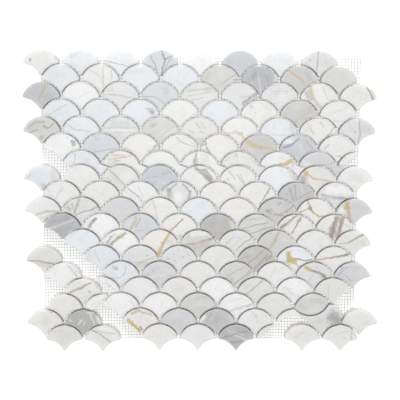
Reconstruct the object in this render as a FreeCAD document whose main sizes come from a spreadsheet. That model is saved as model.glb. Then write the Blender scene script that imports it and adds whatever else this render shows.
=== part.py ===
import FreeCAD, Part

import math
import os

import Sketcher

# A sheet of fish scale mosaic: marble fan chips glued face up on a thin backing of open mesh.
# The sheet lies flat, seen from above: +X is its right, +Y its top and +Z up out of the stone.
# The chips stand in staggered rows. Lengths are in millimetres and angles in degrees.

SHEET_SIZES = (
    ("chip_width", 31.0),
    ("chip_thickness", 9.5),
    ("radius_excess", 0.85),
    ("arc_joint", 1.4),
    ("side_joint", 2.35),
    ("tip_width", 1.6),
    ("top_side_height", 0.4),
    ("upper_side_height", 1.83),
    ("lower_side_height", 1.36),
    ("crescent_height", 10.73),
    ("crescent_cut", 6.2),
    ("lower_slip", 0.56),
    ("left_corner_drop", 1.4),
    ("right_corner_slip", 7.0),
    ("lens_slip", 2.6),
    ("lens_rise", 14.2),
    ("wave_height", 6.0),
    ("wave_shoulder", 2.5),
    ("saw_angle", 45.0),
    ("band_saw_angle", 31.0),
    ("seam_offcut_depth", 6.45),
    ("band_offcut_depth", 6.05),
    ("left_corner_offcut_depth", 8.75),
    ("bottom_offcut_depth", 4.75),
    ("mesh_thickness", 0.5),
    ("mesh_left_inset", 15.1),
    ("mesh_right_inset", 12.3),
    ("mesh_top_inset", 6.2),
    ("mesh_bottom_inset", 9.4),
)

# Columns are counted from the middle one of a full row. A staggered row is half a pitch to the
# right of the others. Rows are counted down the sheet, and the seam row is the seventh.
MIDDLE_COLUMN = 4
TOP_ROW = 1
SEAM_ROW = 7
FIRST_LOWER_ROW = 8
LAST_ROW = 18
HALF_STAGGER = 0.5

# Each curve is a chain of straight sides that turn by about this many degrees from one to the
# next, so that a whole sheet of chips stays light.
SIDE_TURN = 12.0

# Row, first column and number of chips of each run below the seam. The runs get shorter towards
# the lower left, where chips are missing.
LOWER_RUNS = (
    (8, 0, 9),
    (9, 0, 8),
    (10, 0, 9),
    (11, 0, 8),
    (12, 1, 8),
    (13, 1, 7),
    (14, 2, 7),
    (15, 2, 6),
    (16, 2, 5),
    (17, 2, 4),
    (18, 3, 3),
)

# The chips of the two lower corners stand on the other stagger of the same rows.
LEFT_CORNER_RUNS = (
    (13, 0, 1),
    (14, 0, 1),
    (15, 1, 1),
    (16, 0, 1),
    (17, 0, 2),
    (18, 0, 2),
)
RIGHT_CORNER_RUNS = (
    (17, 8, 1),
    (18, 6, 2),
)


class Size:
    """A number kept together with the expression that ties it to the sheet of sizes."""

    def __init__(self, number, text):
        self.number = number
        self.text = text

    def __add__(self, other):
        other = as_size(other)
        return Size(self.number + other.number, f"({self.text} + {other.text})")

    def __sub__(self, other):
        other = as_size(other)
        return Size(self.number - other.number, f"({self.text} - {other.text})")

    def __mul__(self, other):
        other = as_size(other)
        return Size(self.number * other.number, f"({self.text} * {other.text})")

    def __truediv__(self, other):
        other = as_size(other)
        return Size(self.number / other.number, f"({self.text} / {other.text})")

    def __neg__(self):
        return Size(-self.number, f"(0 - {self.text})")


def as_size(value):
    """A plain number is a size with itself as its expression."""
    if isinstance(value, Size):
        return value
    if value < 0:
        return Size(value, f"(0 - {-value})")
    return Size(value, f"{value}")


def root(size):
    return Size(math.sqrt(size.number), f"sqrt({size.text})")


def leg(hypotenuse, side):
    """The other short side of a right-angled triangle."""
    return root(hypotenuse * hypotenuse - side * side)


doc = FreeCAD.newDocument("fish_scale_mosaic_sheet")
sheet = doc.addObject("Spreadsheet::Sheet", "sizes")
for line_number, (alias, length) in enumerate(SHEET_SIZES, start=1):
    sheet.set(f"A{line_number}", alias)
    sheet.set(f"B{line_number}", str(length))
    sheet.setAlias(f"B{line_number}", alias)
doc.recompute()


def cell(alias):
    return Size(float(sheet.get(alias)), f"sizes.{alias}")


# Chip form. A fan is a round head, two short blunt sides, two hollows that fit round the heads of
# the row below, and a narrow blunt tip.
chip_width = cell("chip_width")
half_width = chip_width / 2
column_pitch = chip_width + cell("side_joint")
half_pitch = column_pitch / 2
fan_radius = half_width + cell("radius_excess")
hollow_radius = fan_radius + cell("arc_joint")
tip_width = cell("tip_width")
half_tip = tip_width / 2
shoulder = leg(fan_radius, half_width)
hollow_rise = leg(hollow_radius, half_pitch - half_width)
tip_rise = leg(hollow_radius, half_pitch - half_tip)

# Steps from one row's centres to the next. The centre of a chip is the centre of its round head.
top_step = hollow_rise - shoulder + cell("top_side_height")
upper_step = hollow_rise - shoulder + cell("upper_side_height")
lower_step = hollow_rise - shoulder + cell("lower_side_height")
seam_step = cell("crescent_height") + cell("arc_joint")

lower_slip = cell("lower_slip")
left_corner_drop = cell("left_corner_drop")
right_corner_slip = cell("right_corner_slip")
mesh_thickness = cell("mesh_thickness")

# Extents on the lattice, whose own origin is the centre of the seam row's middle chip.
rows_over_seam = SEAM_ROW - TOP_ROW - 1
rows_under_seam = LAST_ROW - FIRST_LOWER_ROW
top_edge = upper_step * rows_over_seam + top_step + fan_radius
last_centre = -(seam_step + lower_step * rows_under_seam)
bottom_edge = last_centre - left_corner_drop - (lower_step - tip_rise)
left_edge = -(column_pitch * MIDDLE_COLUMN + half_width + lower_slip)
lattice_right_edge = column_pitch * MIDDLE_COLUMN + half_width - lower_slip
right_edge = column_pitch * MIDDLE_COLUMN + right_corner_slip + half_width

# The sheet's own frame has its origin under the middle of the whole outline.
lattice_x = -((left_edge + right_edge) / 2)
lattice_y = -((top_edge + bottom_edge) / 2)


def row_centre(row):
    """How far up the sheet a row's centres are, from the lattice's origin."""
    if row == TOP_ROW:
        return upper_step * rows_over_seam + top_step
    if row <= SEAM_ROW:
        return upper_step * (SEAM_ROW - row)
    return -(seam_step + lower_step * (row - FIRST_LOWER_ROW))


def column_centre(column, staggered):
    """How far right a column's centre is, from the lattice's origin."""
    return column_pitch * (column - MIDDLE_COLUMN + (HALF_STAGGER if staggered else 0))


def is_staggered(row):
    """Every other row is staggered, and both rows at the seam are straight."""
    if row <= SEAM_ROW:
        return row % 2 == 0
    return row % 2 == 1


class Outline:
    """A closed outline, drawn in order round the piece, with its sizes tied to the sheet."""

    def __init__(self, body, name):
        plane = next(f for f in body.Origin.OriginFeatures if f.Role == "XY_Plane")
        self.sketch = body.newObject("Sketcher::SketchObject", name)
        self.sketch.AttachmentSupport = [(plane, "")]
        self.sketch.MapMode = "FlatFace"
        self.sides = []

    def bind(self, kind, *places):
        """Adds one constraint that has no dimension."""
        self.sketch.addConstraint(Sketcher.Constraint(kind, *places))

    def tie(self, kind, *places, size):
        """Adds one dimension and binds it to its expression."""
        number = self.sketch.addConstraint(Sketcher.Constraint(kind, *places, size.number))
        label = f"{kind.lower()}_{number}"
        self.sketch.renameConstraint(number, label)
        self.sketch.setExpression(f"Constraints.{label}", size.text)

    def place(self, geometry, point, across=None, up=None):
        """Fixes one point's distances from the sketch's origin."""
        if across is not None:
            self.tie("DistanceX", -1, 1, geometry, point, size=across)
        if up is not None:
            self.tie("DistanceY", -1, 1, geometry, point, size=up)

    def line(self, start, end):
        points = [FreeCAD.Vector(x.number, y.number, 0) for x, y in (start, end)]
        side = self.sketch.addGeometry(Part.LineSegment(*points))
        self.sides.append(side)
        return side

    def curve(self, centre, radius, start, end, leftward):
        """A chain of equal sides with their corners on a circle about a fixed centre.

        Leftward curves turn left on the way round the outline. Gives the first and last side.
        """
        middle = FreeCAD.Vector(centre[0].number, centre[1].number, 0)
        first, last = (
            math.degrees(math.atan2(y.number - middle.y, x.number - middle.x))
            for x, y in (start, end)
        )
        turn = (last - first) % 360 if leftward else -((first - last) % 360)
        count = max(1, round(abs(turn) / SIDE_TURN))
        bearings = [math.radians(first + turn * step / count) for step in range(count + 1)]
        corners = [
            (
                as_size(middle.x + radius.number * math.cos(bearing)),
                as_size(middle.y + radius.number * math.sin(bearing)),
            )
            for bearing in bearings
        ]
        circle = Part.Circle(middle, FreeCAD.Vector(0, 0, 1), radius.number)
        guide = self.sketch.addGeometry(circle, True)
        self.place(guide, 3, across=centre[0], up=centre[1])
        self.tie("Radius", guide, size=radius)
        sides = [self.line(a, b) for a, b in zip(corners, corners[1:])]
        self.bind("PointOnObject", sides[0], 1, guide)
        for side in sides:
            self.bind("PointOnObject", side, 2, guide)
        for side in sides[1:]:
            self.bind("Equal", sides[0], side)
        return sides[0], sides[-1]

    def close(self):
        for one, other in zip(self.sides, self.sides[1:] + self.sides[:1]):
            self.bind("Coincident", one, 2, other, 1)
        return self.sketch


def circle_point(centre, radius, across=None, up=None, sign=1):
    """The point of a circle at a given distance across, or up, on its upper or right side."""
    if up is None:
        rise = leg(radius, across - centre[0])
        return (across, centre[1] + rise * sign)
    reach = leg(radius, up - centre[1])
    return (centre[0] + reach * sign, up)


def crossing(centre, other, radius, sign):
    """Where two circles of one radius cross, left of the way from centre to other if sign is 1."""
    run = other[0] - centre[0]
    rise = other[1] - centre[1]
    span = root(run * run + rise * rise)
    height = leg(radius, span / 2) * sign
    return (
        (centre[0] + other[0]) / 2 - rise * height / span,
        (centre[1] + other[1]) / 2 + run * height / span,
    )


def meeting(start, bearing, centre, radius):
    """Where a straight line from a point first meets a circle."""
    step = (math.cos(math.radians(bearing)), math.sin(math.radians(bearing)))
    run = start[0] - centre[0]
    rise = start[1] - centre[1]
    along = run * step[0] + rise * step[1]
    aside = run * step[1] - rise * step[0]
    length = -along - leg(radius, aside)
    return (start[0] + length * step[0], start[1] + length * step[1])


def new_body(name, across, up):
    """An empty body standing on the mesh at a place of the lattice."""
    body = doc.addObject("PartDesign::Body", name)
    body.AllowCompound = True
    body.setExpression("Placement.Base.x", (lattice_x + across).text)
    body.setExpression("Placement.Base.y", (lattice_y + up).text)
    body.setExpression("Placement.Base.z", mesh_thickness.text)
    return body


def thicken(body, outline):
    pad = body.newObject("PartDesign::Pad", f"{body.Name}_stone")
    pad.Profile = outline.close()
    pad.setExpression("Length", cell("chip_thickness").text)
    body.Tip = pad
    return pad


def draw_fan(body, step):
    """A whole chip, with its hollows one row step under its head."""
    nought = as_size(0)
    head = (nought, nought)
    right_hollow = (half_pitch, -step)
    left_hollow = (-half_pitch, -step)
    side_foot = hollow_rise - step
    tip_height = tip_rise - step
    outline = Outline(body, f"{body.Name}_fan")
    outline.curve(head, fan_radius, (half_width, shoulder), (-half_width, shoulder), True)
    left = outline.line((-half_width, shoulder), (-half_width, side_foot))
    outline.curve(
        left_hollow, hollow_radius, (-half_width, side_foot), (-half_tip, tip_height), False
    )
    tip = outline.line((-half_tip, tip_height), (half_tip, tip_height))
    outline.curve(
        right_hollow, hollow_radius, (half_tip, tip_height), (half_width, side_foot), False
    )
    right = outline.line((half_width, side_foot), (half_width, shoulder))
    for side, reach in ((left, -half_width), (right, half_width)):
        outline.bind("Vertical", side)
        outline.place(side, 1, across=reach)
    outline.bind("Horizontal", tip)
    outline.tie("DistanceX", tip, 1, tip, 2, size=tip_width)
    return outline


def draw_cut_head(outline, below, cut_foot):
    """The round top of a chip of the seam row, and the straight cut at its left foot."""
    nought = as_size(0)
    right, left = outline.curve(
        (nought, nought), fan_radius, (half_width, shoulder), (-half_width, shoulder), True
    )
    outline.place(right, 1, across=half_width)
    outline.place(left, 2, across=-half_width)
    cut = outline.line((-half_width, shoulder), cut_foot)
    outline.place(cut, 2, across=cut_foot[0])
    return cut


def draw_crescent(body):
    """A chip of the seam row: a head cut off by the row below, with a tail down its right side."""
    below = (as_size(0), -seam_step)
    below_right = (column_pitch, -seam_step)
    tail_height = tip_rise - seam_step
    tail_left = (half_pitch - half_tip, tail_height)
    tail_right = (half_pitch + half_tip, tail_height)
    cut_foot = circle_point(below, hollow_radius, across=cell("crescent_cut") - half_width)
    tail_top = circle_point(below_right, hollow_radius, across=column_pitch + cut_foot[0])
    outline = Outline(body, f"{body.Name}_crescent")
    cut = draw_cut_head(outline, below, cut_foot)
    outline.curve(below, hollow_radius, cut_foot, tail_left, False)
    tip = outline.line(tail_left, tail_right)
    outline.bind("Horizontal", tip)
    outline.place(tip, 1, across=tail_left[0])
    outline.curve(below_right, hollow_radius, tail_right, tail_top, False)
    tail = outline.line(tail_top, (half_width, shoulder))
    outline.bind("Parallel", tail, cut)
    return outline


def draw_short_crescent(body):
    """The last chip of the seam row, which has no tail. It is sawn down further to its offcut."""
    below = (as_size(0), -seam_step)
    cut_foot = circle_point(below, hollow_radius, across=cell("crescent_cut") - half_width)
    side_foot = circle_point(below, hollow_radius, across=half_width)
    outline = Outline(body, f"{body.Name}_crescent")
    draw_cut_head(outline, below, cut_foot)
    outline.curve(below, hollow_radius, cut_foot, side_foot, False)
    side = outline.line(side_foot, (half_width, shoulder))
    outline.bind("Vertical", side)
    return outline


def draw_lower_fan(body):
    return draw_fan(body, lower_step)


def draw_lens(body):
    """A chip cut to a lens: the head above, and the same curve turned over below."""
    nought = as_size(0)
    head = (nought, nought)
    turned = (-cell("lens_slip"), cell("lens_rise"))
    left = crossing(head, turned, fan_radius, 1)
    right = crossing(head, turned, fan_radius, -1)
    outline = Outline(body, f"{body.Name}_lens")
    outline.curve(head, fan_radius, right, left, True)
    outline.curve(turned, fan_radius, left, right, True)
    return outline


def draw_wave(body):
    """The filler under the lens, drawn on the lattice's own origin, as its neighbours bound it."""
    fan = (column_centre(6, True) - lower_slip, row_centre(17))
    lens = (
        column_centre(7, False) - lower_slip - cell("lens_slip"),
        row_centre(16) + cell("lens_rise"),
    )
    lower_left = (column_centre(6, True) + right_corner_slip, row_centre(18))
    lower_right = (column_centre(7, True) + right_corner_slip, row_centre(18))
    corner = (column_centre(8, False) + right_corner_slip, row_centre(17))
    inner = (fan[0], fan[1] + fan_radius - cell("wave_height") - hollow_radius)
    saw_slant = cell("saw_angle")
    roof = row_centre(15) - (lower_step - tip_rise) - cell("arc_joint")
    roof_right = (column_centre(7, True) - lower_slip + cell("wave_shoulder"), roof)
    roof_left = circle_point(lens, hollow_radius, up=roof)
    floor = fan[1] + shoulder
    left_foot = (fan[0] - half_width, floor)
    left_heel = circle_point(inner, hollow_radius, up=floor, sign=-1)
    valley_height = row_centre(18) + tip_rise
    valley_middle = lower_left[0] + half_pitch
    valley_left = (valley_middle - half_tip, valley_height)
    valley_right = (valley_middle + half_tip, valley_height)
    right_foot = crossing(lower_right, corner, hollow_radius, 1)
    right_neck = meeting(roof_right, -saw_slant.number, corner, hollow_radius)
    crest = circle_point(fan, fan_radius, across=fan[0])
    under_inner = crossing(lower_left, inner, hollow_radius, -1)

    outline = Outline(body, f"{body.Name}_wave")
    outline.curve(lower_right, hollow_radius, valley_right, right_foot, False)
    outline.curve(corner, hollow_radius, right_foot, right_neck, False)
    slope = outline.line(right_neck, roof_right)
    roof_line = outline.line(roof_right, roof_left)
    outline.curve(lens, hollow_radius, roof_left, crest, False)
    outline.curve(fan, fan_radius, crest, left_foot, True)
    flat = outline.line(left_foot, left_heel)
    outline.curve(inner, hollow_radius, left_heel, under_inner, False)
    outline.curve(lower_left, hollow_radius, under_inner, valley_left, False)
    tip = outline.line(valley_left, valley_right)
    for level in (roof_line, flat, tip):
        outline.bind("Horizontal", level)
    outline.place(roof_line, 1, across=roof_right[0], up=roof_right[1])
    outline.place(flat, 1, across=left_foot[0])
    outline.place(tip, 1, across=valley_left[0])
    bearing = as_size(180.0) - saw_slant
    outline.tie("Angle", slope, size=Size(math.radians(bearing.number), f"{bearing.text} * 1 deg"))
    return outline


def saw_off(body, angle, kept_depth):
    """Takes away what lies under a slanting saw line, and leaves a depth of stone to the crown."""
    saw = Outline(body, f"{body.Name}_saw_line")
    saw.sketch.AttachmentOffset = FreeCAD.Placement(
        FreeCAD.Vector(), FreeCAD.Rotation(FreeCAD.Vector(0, 0, 1), angle.number)
    )
    saw.sketch.setExpression("AttachmentOffset.Rotation.Angle", angle.text)
    line_height = fan_radius - kept_depth
    waste_foot = line_height - chip_width
    corners = (
        (-chip_width, waste_foot),
        (chip_width, waste_foot),
        (chip_width, line_height),
        (-chip_width, line_height),
    )
    edges = [saw.line(a, b) for a, b in zip(corners, corners[1:] + corners[:1])]
    for edge, kind in zip(edges, ("Horizontal", "Vertical", "Horizontal", "Vertical")):
        saw.bind(kind, edge)
    saw.place(edges[0], 1, across=-chip_width, up=waste_foot)
    saw.place(edges[2], 1, across=chip_width, up=line_height)
    pocket = body.newObject("PartDesign::Pocket", f"{body.Name}_waste")
    pocket.Profile = saw.close()
    pocket.Type = "ThroughAll"
    pocket.Reversed = True
    body.Tip = pocket


def repeat_across(body, pad, count, rows=1, row_step=None):
    """Copies a chip along its row, and down through like rows."""
    if count == 1 and rows == 1:
        return
    pattern = body.newObject("PartDesign::LinearPattern", f"{body.Name}_run")
    pattern.Originals = [pad]
    pattern.Direction = (pad.Profile[0], ["H_Axis"])
    pattern.Mode = "Spacing"
    pattern.setExpression("Offset", column_pitch.text)
    pattern.Occurrences = count
    if rows > 1:
        pattern.Direction2 = (pad.Profile[0], ["V_Axis"])
        pattern.Mode2 = "Extent"
        pattern.setExpression("Length2", (row_step * (rows - 1)).text)
        pattern.Occurrences2 = rows
    body.Tip = pattern


def fan_run(name, first, count, row, step, staggered, slip=0, drop=0, rows=1):
    """A run of whole chips: one row, or several like rows two row steps apart."""
    across = column_centre(first, staggered) + slip
    body = new_body(name, across, row_centre(row) - drop)
    pad = thicken(body, draw_fan(body, step))
    repeat_across(body, pad, count, rows, step * 2)
    return body


def gather(name, bodies):
    """One sub-part of several runs of loose chips."""
    group = doc.addObject("Part::Compound", name)
    group.Links = bodies
    group.Label = name
    return group


def offcut(name, draw, column, row, staggered, angle, kept_depth, slip=0, drop=0):
    body = new_body(name, column_centre(column, staggered) + slip, row_centre(row) - drop)
    thicken(body, draw(body))
    saw_off(body, angle, kept_depth)
    body.Label = name
    return body


def single(name, across, up, draw):
    body = new_body(name, across, up)
    thicken(body, draw(body))
    body.Label = name
    return body


def build_upper_block():
    top = fan_run("top_row_chips", 0, 8, TOP_ROW, top_step, False)
    top.Label = "top_row_chips"
    staggered = fan_run("upper_staggered_rows", 0, 8, 6, upper_step, True, rows=3)
    straight = fan_run("upper_straight_rows", 0, 9, 5, upper_step, False, rows=2)
    return [top, gather("upper_block_chips", [staggered, straight])]


def build_seam_row():
    body = new_body("seam_row_chips", column_centre(1, False), row_centre(SEAM_ROW))
    pad = thicken(body, draw_crescent(body))
    repeat_across(body, pad, 7)
    body.Label = "seam_row_chips"
    return [body]


def build_lower_block():
    runs = [
        fan_run(f"lower_row_{row}", first, count, row, lower_step, is_staggered(row), -lower_slip)
        for row, first, count in LOWER_RUNS
    ]
    return [gather("lower_block_chips", runs)]


def build_left_corner():
    runs = [
        fan_run(
            f"left_corner_row_{row}", first, count, row, lower_step,
            not is_staggered(row), drop=left_corner_drop,
        )
        for row, first, count in LEFT_CORNER_RUNS
    ]
    return [gather("left_corner_chips", runs)]


def build_right_corner():
    runs = [
        fan_run(
            f"right_corner_row_{row}", first, count, row, lower_step,
            not is_staggered(row), slip=right_corner_slip,
        )
        for row, first, count in RIGHT_CORNER_RUNS
    ]
    return [gather("right_corner_chips", runs)]


def build_offcuts():
    saw_angle = cell("saw_angle")
    band_angle = -cell("band_saw_angle")
    return [
        offcut(
            "seam_offcut", draw_short_crescent, 8, SEAM_ROW, False, saw_angle,
            cell("seam_offcut_depth"),
        ),
        offcut(
            "band_offcut", draw_lower_fan, 1, 15, True, band_angle,
            cell("band_offcut_depth"), slip=-lower_slip,
        ),
        offcut(
            "left_corner_offcut", draw_lower_fan, 1, 16, True, saw_angle,
            cell("left_corner_offcut_depth"), drop=left_corner_drop,
        ),
        offcut(
            "bottom_offcut", draw_lower_fan, 6, 18, False, saw_angle,
            cell("bottom_offcut_depth"), slip=-lower_slip,
        ),
    ]


def build_fillers():
    nought = as_size(0)
    lens_across = column_centre(7, False) - lower_slip
    return [
        single("lens_chip", lens_across, row_centre(16), draw_lens),
        single("wave_chip", nought, nought, draw_wave),
    ]


def build_mesh():
    """The backing's plain outline and thickness, under every chip."""
    left = left_edge + cell("mesh_left_inset")
    right = lattice_right_edge - cell("mesh_right_inset")
    top = top_edge - cell("mesh_top_inset")
    bottom = bottom_edge + cell("mesh_bottom_inset")
    mesh = doc.addObject("Part::Box", "mesh_backing")
    mesh.setExpression("Length", (right - left).text)
    mesh.setExpression("Width", (top - bottom).text)
    mesh.setExpression("Height", mesh_thickness.text)
    mesh.setExpression("Placement.Base.x", (lattice_x + left).text)
    mesh.setExpression("Placement.Base.y", (lattice_y + bottom).text)
    mesh.Label = "mesh_backing"
    return [mesh]


def check_document():
    """Stops the build where any object failed."""
    for thing in doc.Objects:
        faults = [state for state in thing.State if state in ("Invalid", "Error")]
        if faults:
            raise RuntimeError(f"{thing.Name} failed: {faults}")


def write_parts(parts):
    os.makedirs("parts", exist_ok=True)
    for part in parts:
        if part.Shape.isNull() or not part.Shape.isValid():
            raise RuntimeError(f"{part.Label} has no valid shape")
        part.Shape.exportStep(f"parts/{part.Label}.step")
        box = part.Shape.BoundBox
        print(
            f"{part.Label}: {len(part.Shape.Solids)} solids, {part.Shape.Volume:.0f} mm3, "
            f"x {box.XMin:.2f} to {box.XMax:.2f}, y {box.YMin:.2f} to {box.YMax:.2f}, "
            f"z {box.ZMin:.2f} to {box.ZMax:.2f}"
        )


def main():
    parts = []
    for build in (
        build_upper_block,
        build_seam_row,
        build_lower_block,
        build_left_corner,
        build_right_corner,
        build_offcuts,
        build_fillers,
        build_mesh,
    ):
        parts.extend(build())
    doc.recompute()
    check_document()
    write_parts(parts)


main()
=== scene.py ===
"""A sheet of fish scale mosaic: marble fan chips, honed, glued face up on a net of glass fibre.

Every chip is cut here with its eased edges and veined as a piece of stone of its own, and the net
is woven thread by thread. Sizes are in millimetres until a mesh is made. The frame is the CAD's:
+X is the sheet's right, +Y its top and +Z up out of the stone.
"""

import logging
import math
import random
from collections.abc import Callable, Iterator
from dataclasses import dataclass, field
from enum import Enum
from itertools import accumulate

import bpy
from mathutils import Matrix, Vector


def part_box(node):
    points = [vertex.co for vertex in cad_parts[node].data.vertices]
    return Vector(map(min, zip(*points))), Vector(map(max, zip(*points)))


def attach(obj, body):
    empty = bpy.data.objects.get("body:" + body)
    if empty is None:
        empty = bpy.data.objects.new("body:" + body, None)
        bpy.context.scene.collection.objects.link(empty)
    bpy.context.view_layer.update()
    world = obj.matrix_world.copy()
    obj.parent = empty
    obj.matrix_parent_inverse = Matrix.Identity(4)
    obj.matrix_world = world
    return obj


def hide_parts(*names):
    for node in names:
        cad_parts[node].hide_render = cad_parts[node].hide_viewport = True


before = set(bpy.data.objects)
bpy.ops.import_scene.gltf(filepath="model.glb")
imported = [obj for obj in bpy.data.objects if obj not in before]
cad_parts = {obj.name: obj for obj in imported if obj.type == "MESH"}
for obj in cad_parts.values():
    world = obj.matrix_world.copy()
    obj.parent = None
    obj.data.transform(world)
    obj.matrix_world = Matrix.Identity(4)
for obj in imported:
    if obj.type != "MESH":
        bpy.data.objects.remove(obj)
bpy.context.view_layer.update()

logging.basicConfig(level=logging.INFO, format="%(message)s")
log = logging.getLogger("fish_scale_sheet")

Point = tuple[float, float]
Span = tuple[float, float]
Outline = list[Point]
Colour = tuple[float, float, float, float]
NodeValue = bpy.types.NodeSocket | float | tuple

METRES = 0.001
BODY = "root"
WHITE_LIGHT = "ffffff"


def linear(code: str) -> Colour:
    """Turns an sRGB hex colour into the linear colour that a shader takes.

    Args:
        code: Six hex digits, such as "ecebe4".

    Returns:
        Linear red, green and blue, and an alpha of one.
    """
    levels = [int(code[place : place + 2], 16) / 255 for place in (0, 2, 4)]
    red, green, blue = (
        level / 12.92 if level <= 0.04045 else ((level + 0.055) / 1.055) ** 2.4
        for level in levels
    )
    return red, green, blue, 1.0


class Tone(Enum):
    """The ground colours of the marble, from the whitest chips to the greyest."""

    BRIGHT = "f4f4f4"
    WHITE = "ededec"
    WARM_WHITE = "ecebe8"
    COOL_WHITE = "eceff2"
    PALE_BLUE = "e7ebee"
    GREEN_WHITE = "e8e9e4"
    WARM_GREY = "e6e5e2"
    PALE_GREY = "e3e4e3"
    GREEN_GREY = "ddded9"
    LILAC = "dadadc"
    COOL_GREY = "d9dcdf"
    ASH = "d8d8d5"
    MID_GREY = "cfcecd"
    BLUE_GREY = "cdd0d4"
    STEEL = "c8c9ca"
    TAUPE = "c9c7c3"
    DARK_GREY = "c0bfbe"
    SLATE = "bbbdc1"


class Ink(Enum):
    """The colours of the veins and clouds in the marble."""

    BLUE = "b3bcc4"
    GREY = "a9acae"
    DARK = "75777a"
    BEIGE = "c9c3b2"
    GOLD = "ceb77f"
    BROWN = "9e9078"
    OLIVE = "b0a888"


# The tones and inks by their bare names, for the tables of the stones.
(
    BRIGHT, WHITE, WARM_WHITE, COOL_WHITE, PALE_BLUE, GREEN_WHITE, WARM_GREY, PALE_GREY,
    GREEN_GREY, LILAC, COOL_GREY, ASH, MID_GREY, BLUE_GREY, STEEL, TAUPE, DARK_GREY, SLATE,
) = Tone
BLUE, GREY, DARK, BEIGE, GOLD, BROWN, OLIVE = Ink


@dataclass(frozen=True)
class Vein:
    """A vein or a cloud in one chip, between two places measured from the chip's centre."""

    ink: Tone | Ink
    start: Point
    end: Point
    width: float
    strength: float


@dataclass(frozen=True)
class Stone:
    """What one chip's stone looks like: its ground and its veins."""

    tone: Tone
    veins: tuple[Vein, ...]


def stone(tone: Tone, *veins: tuple[Tone | Ink | float, ...]) -> Stone:
    """Gives the stone of one chip.

    Args:
        tone: Its ground.
        veins: For each vein its ink, x and y of its start and of its end, its width and strength.

    Returns:
        The stone.
    """
    return Stone(
        tone,
        tuple(
            Vein(ink, (left, low), (right, high), width, strength)
            for ink, left, low, right, high, width, strength in veins
        ),
    )


# The most veins that a chip has, and what fills the place of one that it doesn't have.
MOST_VEINS = 6
NO_VEIN = Vein(GREY, (-1, 0), (1, 0), 1, 0)

# The stones from left to right, in each row of the sheet.
TOP_ROW: dict[int, tuple[Stone, ...]] = {
    1: (
        stone(
            WHITE, (DARK, -10, 7.5, -7, 7.5, 2.5, 0.6), (GREY, 12, 11, 15, 6, 2, 0.35),
            (GREY, -13, 5, -9, 3, 1, 0.25),
        ),
        stone(
            COOL_WHITE, (GREY, -10, 9, -6, 13, 4, 0.12), (BROWN, 13, 7.5, 15, 6.5, 1.2, 0.35),
            (GREY, -8, 9, -2, 13, 2, 0.15),
        ),
        stone(
            COOL_WHITE, (BROWN, -13.5, 7, -8, 6.5, 0.7, 0.55), (GREY, -8, 6.5, 8, 1.5, 0.8, 0.75),
        ),
        stone(
            COOL_GREY, (DARK, 1, 16, 3, 8.5, 1, 0.75), (DARK, 3, 8.5, 10, 11.5, 0.9, 0.7),
            (DARK, 4, 8.5, 1, -4, 1.1, 0.75), (DARK, -8, 12, -5, 5, 1.2, 0.5),
            (DARK, -5, 6, -3, -1, 1, 0.55), (GREY, 9, 9, 3, 0, 1.2, 0.6),
        ),
        stone(BRIGHT),
        stone(BLUE_GREY),
        stone(COOL_WHITE),
        stone(
            PALE_GREY, (DARK, -1.5, 16, -1.5, 7, 1, 0.45), (GREY, -1.5, 8, -2.5, -4, 1.2, 0.5),
            (GREY, -9.5, 10, -7, 8, 1.4, 0.6), (BEIGE, -12, 8, -10, 4, 5, 0.3),
            (GREY, 4, 13, 6, 3, 0.6, 0.25),
        ),
    ),
}
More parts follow.
